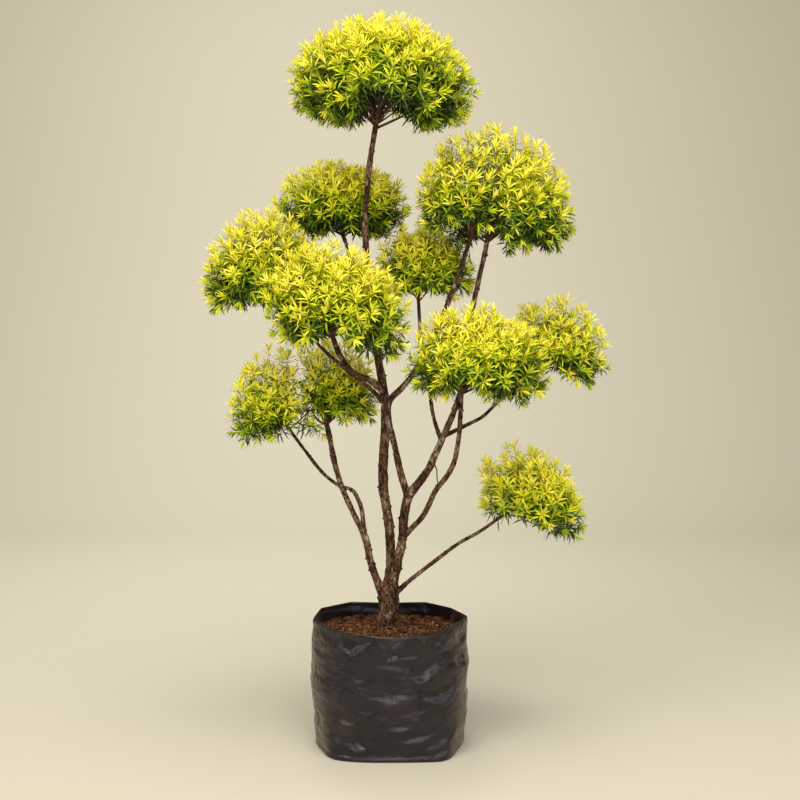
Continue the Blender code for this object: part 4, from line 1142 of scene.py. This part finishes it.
def plan_points(level):
    """The bag's plan without dents at each row and column: (rows, columns, 2).

    Corners go straight from the floor to the rim.  A facet bulges edge^2 / 8r most halfway up, and
    the corners are rounded by a running mean, more in the middle and at the floor than at the rim.
    """
    share = (level / BAG_HEIGHT)[..., None]
    after = (CORNER + 1) % len(RIM_CORNERS)
    p = BASE_CORNERS[CORNER] + (RIM_CORNERS[CORNER] - BASE_CORNERS[CORNER]) * share
    q = BASE_CORNERS[after] + (RIM_CORNERS[after] - BASE_CORNERS[after]) * share
    edge = q - p
    length = np.linalg.norm(edge, axis=-1, keepdims=True)
    outward = np.stack([edge[..., 1], -edge[..., 0]], axis=-1) / length
    bulge = np.maximum(4 * share * (1 - share), 0.0)  # none where the rim rises past the height
    t = SHARE[:, None]
    points = p + edge * t + outward * length**2 / (8 * BAG_ROUNDNESS) * bulge * 4 * t * (1 - t)
    points = points * (1 + BAG_BULGE * bulge)
    reach = range(-SOFT_COLUMNS, SOFT_COLUMNS + 1)
    soft = sum(np.roll(points, k, axis=1) for k in reach) / len(reach)
    softness = np.maximum(0.20 + 0.80 * bulge**0.6, BASE_SOFTNESS * (1 - share))
    return points + (soft - points) * softness


def smooth_step(value, low, high):
    """0 below low, 1 above high, and a cubic between."""
    share = np.clip((value - low) / (high - low), 0, 1)
    return share * share * (3 - 2 * share)


def dent_list():
    """The front's dents, and seeded ones of the same kind on the sides and the back."""
    rng = np.random.default_rng(7)
    dents = list(FRONT_DENTS)
    for i in range(OTHER_DENTS):
        place = 165 + (WHOLE / MM - 330) * (i + rng.uniform(0, 1)) / OTHER_DENTS
        level = rng.choice((16, 30, 55, 85, 110, 140, 170, 200, 228)) + rng.uniform(-10, 10)
        height = rng.uniform(3.5, 7.0)
        dents.append((place, level, rng.uniform(14, 44), height, height * rng.uniform(0.4, 0.95),
                      rng.uniform(-20, 20), rng.uniform(0, 1.6)))
    return dents


def from_place(at):
    """How far round the film each column is from a place (mm)."""
    return (np.mod(PLACE[None, :] - at * MM + WHOLE / 2, WHOLE) - WHOLE / 2) / MM


def dent_depth(level, at, height, half_length, half_height, depth, tilt, curl):
    """A dent: depth * (1 - u^2)^1.2 * step(v from -1 to 1) * exp(-((v - 1) / fade)^2 above 1).

    u runs along the dent and v across it, curled up at its ends, where it is narrower as well.
    """
    x, z, lean = from_place(at), level / MM - height, math.radians(tilt)
    u = (x * math.cos(lean) + z * math.sin(lean)) / half_length
    ends = np.clip(1 - u * u, 0, 1) ** 1.2
    v = (z * math.cos(lean) - x * math.sin(lean)) / half_height - curl * u * u
    v = v / (0.45 + 0.55 * ends)
    fade = np.exp(-((np.maximum(v - 1, 0) / DENT_FADE) ** 2))
    return depth * MM, ends * smooth_step(v, -1, 1) * fade


def crease_height(level, from_at, from_level, to_at, to_level, height):
    """A ridge between two places: height * exp(-distance / width), lower towards its ends."""
    x, z = from_place(from_at), level / MM - from_level
    run = np.array([to_at - from_at, to_level - from_level], float)
    share = np.clip((x * run[0] + z * run[1]) / (run @ run), 0, 1)
    gap = np.hypot(x - share * run[0], z - share * run[1])
    return height * MM * np.exp(-gap / CREASE_WIDTH) * np.sin(math.pi * share) ** 0.5


def film_relief(level):
    """How far the film stands out from its plan: sags, less dents, plus creases; the lip bends in."""
    turn = PLACE[None, :] / WHOLE * 2 * math.pi
    near_rim = smooth_step(level, RIM_START, BAG_HEIGHT)
    middle = smooth_step(level, *FOOT_FADE) * (1 - RIM_FADE * near_rim)
    relief = 0.0
    for height, length, turns, count, seed, slope in SAGS:
        field = waves(level / length, turn * turns, count, seed, slope)
        relief = relief + height * MM * middle * field
    for dent in dent_list():
        depth, shape = dent_depth(level, *dent)
        relief = relief - depth * middle * shape
    for crease in CREASES:
        relief = relief + crease_height(level, *crease)
    return relief - LIP_BEND * smooth_step(level, BAG_HEIGHT - 0.006, BAG_HEIGHT) ** 2


def film_points(level, inset=0.0):
    """Points of the film at each row and column, drawn in by inset and turned in at the foot."""
    plan = plan_points(level)
    along = unit(np.roll(plan, -1, axis=1) - np.roll(plan, 1, axis=1))
    outward = np.stack([along[..., 1], -along[..., 0]], axis=-1)
    foot = np.clip(1 - level / BAG_FOOT, 0, 1)
    out = film_relief(level) - inset - BAG_FOOT * (1 - np.sqrt(1 - foot**2 + 1e-12))
    return np.concatenate([plan + outward * out[..., None], level[..., None]], axis=-1)


def film_level(share):
    """Levels of the film at shares of its height, drawn up or down near the top to the uneven rim."""
    top = BAG_HEIGHT - LIP / 2 + between_corners(np.array(RIM_WAVE))[None, :] * MM
    return share * BAG_HEIGHT * (1 + (top / BAG_HEIGHT - 1) * smooth_step(share, 0.6, 1.0))


def build_bag():
    """The film: underside, foot, dented wall, thin rim and the inner wall down to the inner floor."""
    foot = BAG_FOOT / BAG_HEIGHT
    rise = np.concatenate([
        foot * (1 - np.cos(np.linspace(0, math.pi / 2, 6)))[:-1],
        np.linspace(foot, 1, round(BAG_HEIGHT / FILM_STEP)),
    ])[:, None]
    fall = np.linspace(1, FILM / BAG_HEIGHT, 60)[:, None]
    outside, inside = film_points(film_level(rise)), film_points(film_level(fall), FILM)
    lip = (outside[-1:] + inside[:1]) / 2 + UP * (0.4 * FILM)
    shares = np.array([0.25, 0.55, 0.8])[:, None, None]
    under = outside[:1] * shares * LEVEL
    floor = inside[-1:] * LEVEL * shares[::-1] + UP * FILM
    rings = np.concatenate([under, outside, lip, inside, floor])
    points = np.concatenate([[0 * UP], rings.reshape(-1, 3), [UP * FILM]])
    faces = closed_tube_faces(len(rings), len(PLACE))
    add_piece("grow_bag_film", points, faces, polythene_film(), "grow_bag_film", ["grow_bag"])


def soil_level(x, y, share):
    """Level of the soil: higher at the trunk, low at the film, with lumps of 6 to 40 mm."""
    rng = np.random.default_rng(21)
    level = SOIL_EDGE + (SOIL_CROWN - SOIL_EDGE) * (1 - share**1.6)
    for scale, height, count in SOIL_LUMPS:
        for _ in range(count):
            way = rng.uniform(0, 2 * math.pi)
            along = (x * math.cos(way) + y * math.sin(way)) * 2 * math.pi / scale
            level = level + np.sin(along + rng.uniform(0, 6.3)) * height * MM * 0.5
    return level + MOUND * np.exp(-(x**2 + y**2) / MOUND_RADIUS**2)


def build_soil():
    """Soil: a lumpy top that meets the film, sides just inside it and a flat base; and its crumbs."""
    columns = len(PLACE)
    share = np.sqrt(np.linspace(0.0002, 1, SOIL_RINGS))[:, None]
    edge = film_points(np.full((1, columns), SOIL_EDGE), FILM + SOIL_GAP)
    top = edge * share[..., None]
    top[..., 2] = soil_level(top[..., 0], top[..., 1], share)
    wall = film_points(np.array(SOIL_WALL)[:, None] + np.zeros((1, columns)), SOIL_WALL_GAP)
    base = wall[-1:] * np.array([0.5, 0.5, 0.4])
    stack = np.concatenate([top, wall, base])
    points = np.concatenate([top[0].mean(0)[None], stack.reshape(-1, 3), [UP * SOIL_BASE]])
    faces = closed_tube_faces(len(stack), columns)[:, ::-1]
    add_piece("soil_bed", points, faces, potting_mix(), "potting_soil", ["soil"])
    for name, count, sizes, flat, dark, light, seed in CRUMBS:
        points, faces = crumbs(count, sizes, flat, seed, edge[0])
        add_piece(name, points, faces, crumb_finish(name, dark, light), "potting_soil", ["soil"])


def icosahedron():
    """The 12 points and 20 faces of an icosahedron of radius 1."""
    points = [(0.0, 0.0, 1.0)]
    for ring, height in ((0, 1), (1, -1)):
        for k in range(5):
            turn = 2 * math.pi * (k + ring / 2) / 5
            points.append((math.cos(turn) * 0.8944, math.sin(turn) * 0.8944, height * 0.4472))
    points.append((0.0, 0.0, -1.0))
    faces = []
    for k in range(5):
        after = (k + 1) % 5
        faces += [(0, 1 + k, 1 + after), (1 + k, 6 + k, 1 + after)]
        faces += [(6 + k, 6 + after, 1 + after), (11, 6 + after, 6 + k)]
    return np.array(points), np.array(faces)


def crumbs(count, sizes, flat, seed, edge):
    """Uneven lumps lying on the soil: icosahedra with jittered radii, squashed, at seeded places."""
    rng = np.random.default_rng(seed)
    ball, faces = icosahedron()
    turn = rng.uniform(-math.pi, math.pi, count)
    share = np.sqrt(rng.uniform(0.02, 0.98, count))
    edge_turn = np.arctan2(edge[:, 1], edge[:, 0])
    order = np.argsort(edge_turn)
    edge_reach = np.hypot(edge[:, 0], edge[:, 1])[order]
    reach = np.interp(turn, edge_turn[order], edge_reach, period=2 * math.pi) - CRUMB_MARGIN
    x, y = share * reach * np.cos(turn), share * reach * np.sin(turn)
    size = (sizes[0] + (sizes[1] - sizes[0]) * rng.uniform(0, 1, count) ** 2.2) * MM
    middle = np.stack([x, y, soil_level(x, y, share) + size * 0.25], axis=-1)
    shape = ball[None] * rng.uniform(*CRUMB_SHAPES, (count, len(ball), 1)) * size[:, None, None]
    longer = rng.uniform(*CRUMB_STRETCHES, count)
    stretch = np.stack([longer, np.ones(count), np.full(count, flat)], -1)
    shape = shape * stretch[:, None]
    spin = rng.uniform(0, 2 * math.pi, (count, 1))
    x, y = shape[..., 0], shape[..., 1]
    turned = [x * np.cos(spin) - y * np.sin(spin), x * np.sin(spin) + y * np.cos(spin), shape[..., 2]]
    return middle[:, None] + np.stack(turned, axis=-1), repeated(faces, count, len(ball))


# ---- studio -------------------------------------------------------------------------------------
def build_sweep():
    """A pale paper sweep: a floor that curves up into a wall, behind and around the plant."""
    arc = np.linspace(0, math.pi / 2, 24)
    bend = np.stack([SWEEP_START + SWEEP_BEND * np.sin(arc), SWEEP_BEND * (1 - np.cos(arc))], axis=-1)
    profile = np.concatenate([[(-4.5, 0.0)], bend, [(SWEEP_START + SWEEP_BEND, 6.0)]])
    x = np.linspace(-6, 6, 3)
    points = np.stack(np.broadcast_arrays(x[None, :], profile[:, :1], profile[:, 1:]), axis=-1)
    faces = sheet_faces(len(profile), len(x), False)
    paper = Finish("paper_sweep", "#c7c0ae", 0.9)
    smooth_object("sweep", points, faces, paper.material)


def add_area_light(name, place, target, size, power, colour):
    """A rectangular soft light (width, height) at a place that faces a target."""
    data = bpy.data.lights.new(name, "AREA")
    data.shape = "RECTANGLE"
    data.size, data.size_y = size
    data.energy = power
    data.color = linear(colour)[:3]
    light = place_in_scene(name, data)
    light.location = place
    x, y, z = np.array(target) - np.array(place)
    light.rotation_euler = (math.atan2(math.hypot(x, y), -z), 0.0, math.atan2(y, x) - math.pi / 2)


def build_lights_and_camera():
    """Soft light from above and the left front with weak fill, a glow on the wall, and the camera."""
    scene = bpy.context.scene
    world = bpy.data.worlds.new("studio_fill")
    world.use_nodes = True
    background = world.node_tree.nodes["Background"].inputs
    background["Color"].default_value = linear(WORLD_COLOUR)
    background["Strength"].default_value = WORLD_STRENGTH
    scene.world = world
    for light in LIGHTS:
        add_area_light(*light)
    scene.view_settings.view_transform = "Standard"
    data = bpy.data.cameras.new("camera")
    data.lens = CAMERA_LENS
    data.sensor_width = 36.0
    camera = place_in_scene("camera", data)
    camera.location = CAMERA_PLACE
    camera.rotation_euler = (math.radians(90 - CAMERA_DOWN), 0.0, 0.0)
    scene.camera = camera


CORNER, SHARE = film_columns()
PLACE, WHOLE = film_places()
SPACES = {name: Mass(name, number) for number, name in enumerate(MASSES)}
build_bag()
build_soil()
build_limbs()
build_foliage()
build_sweep()
build_lights_and_camera()
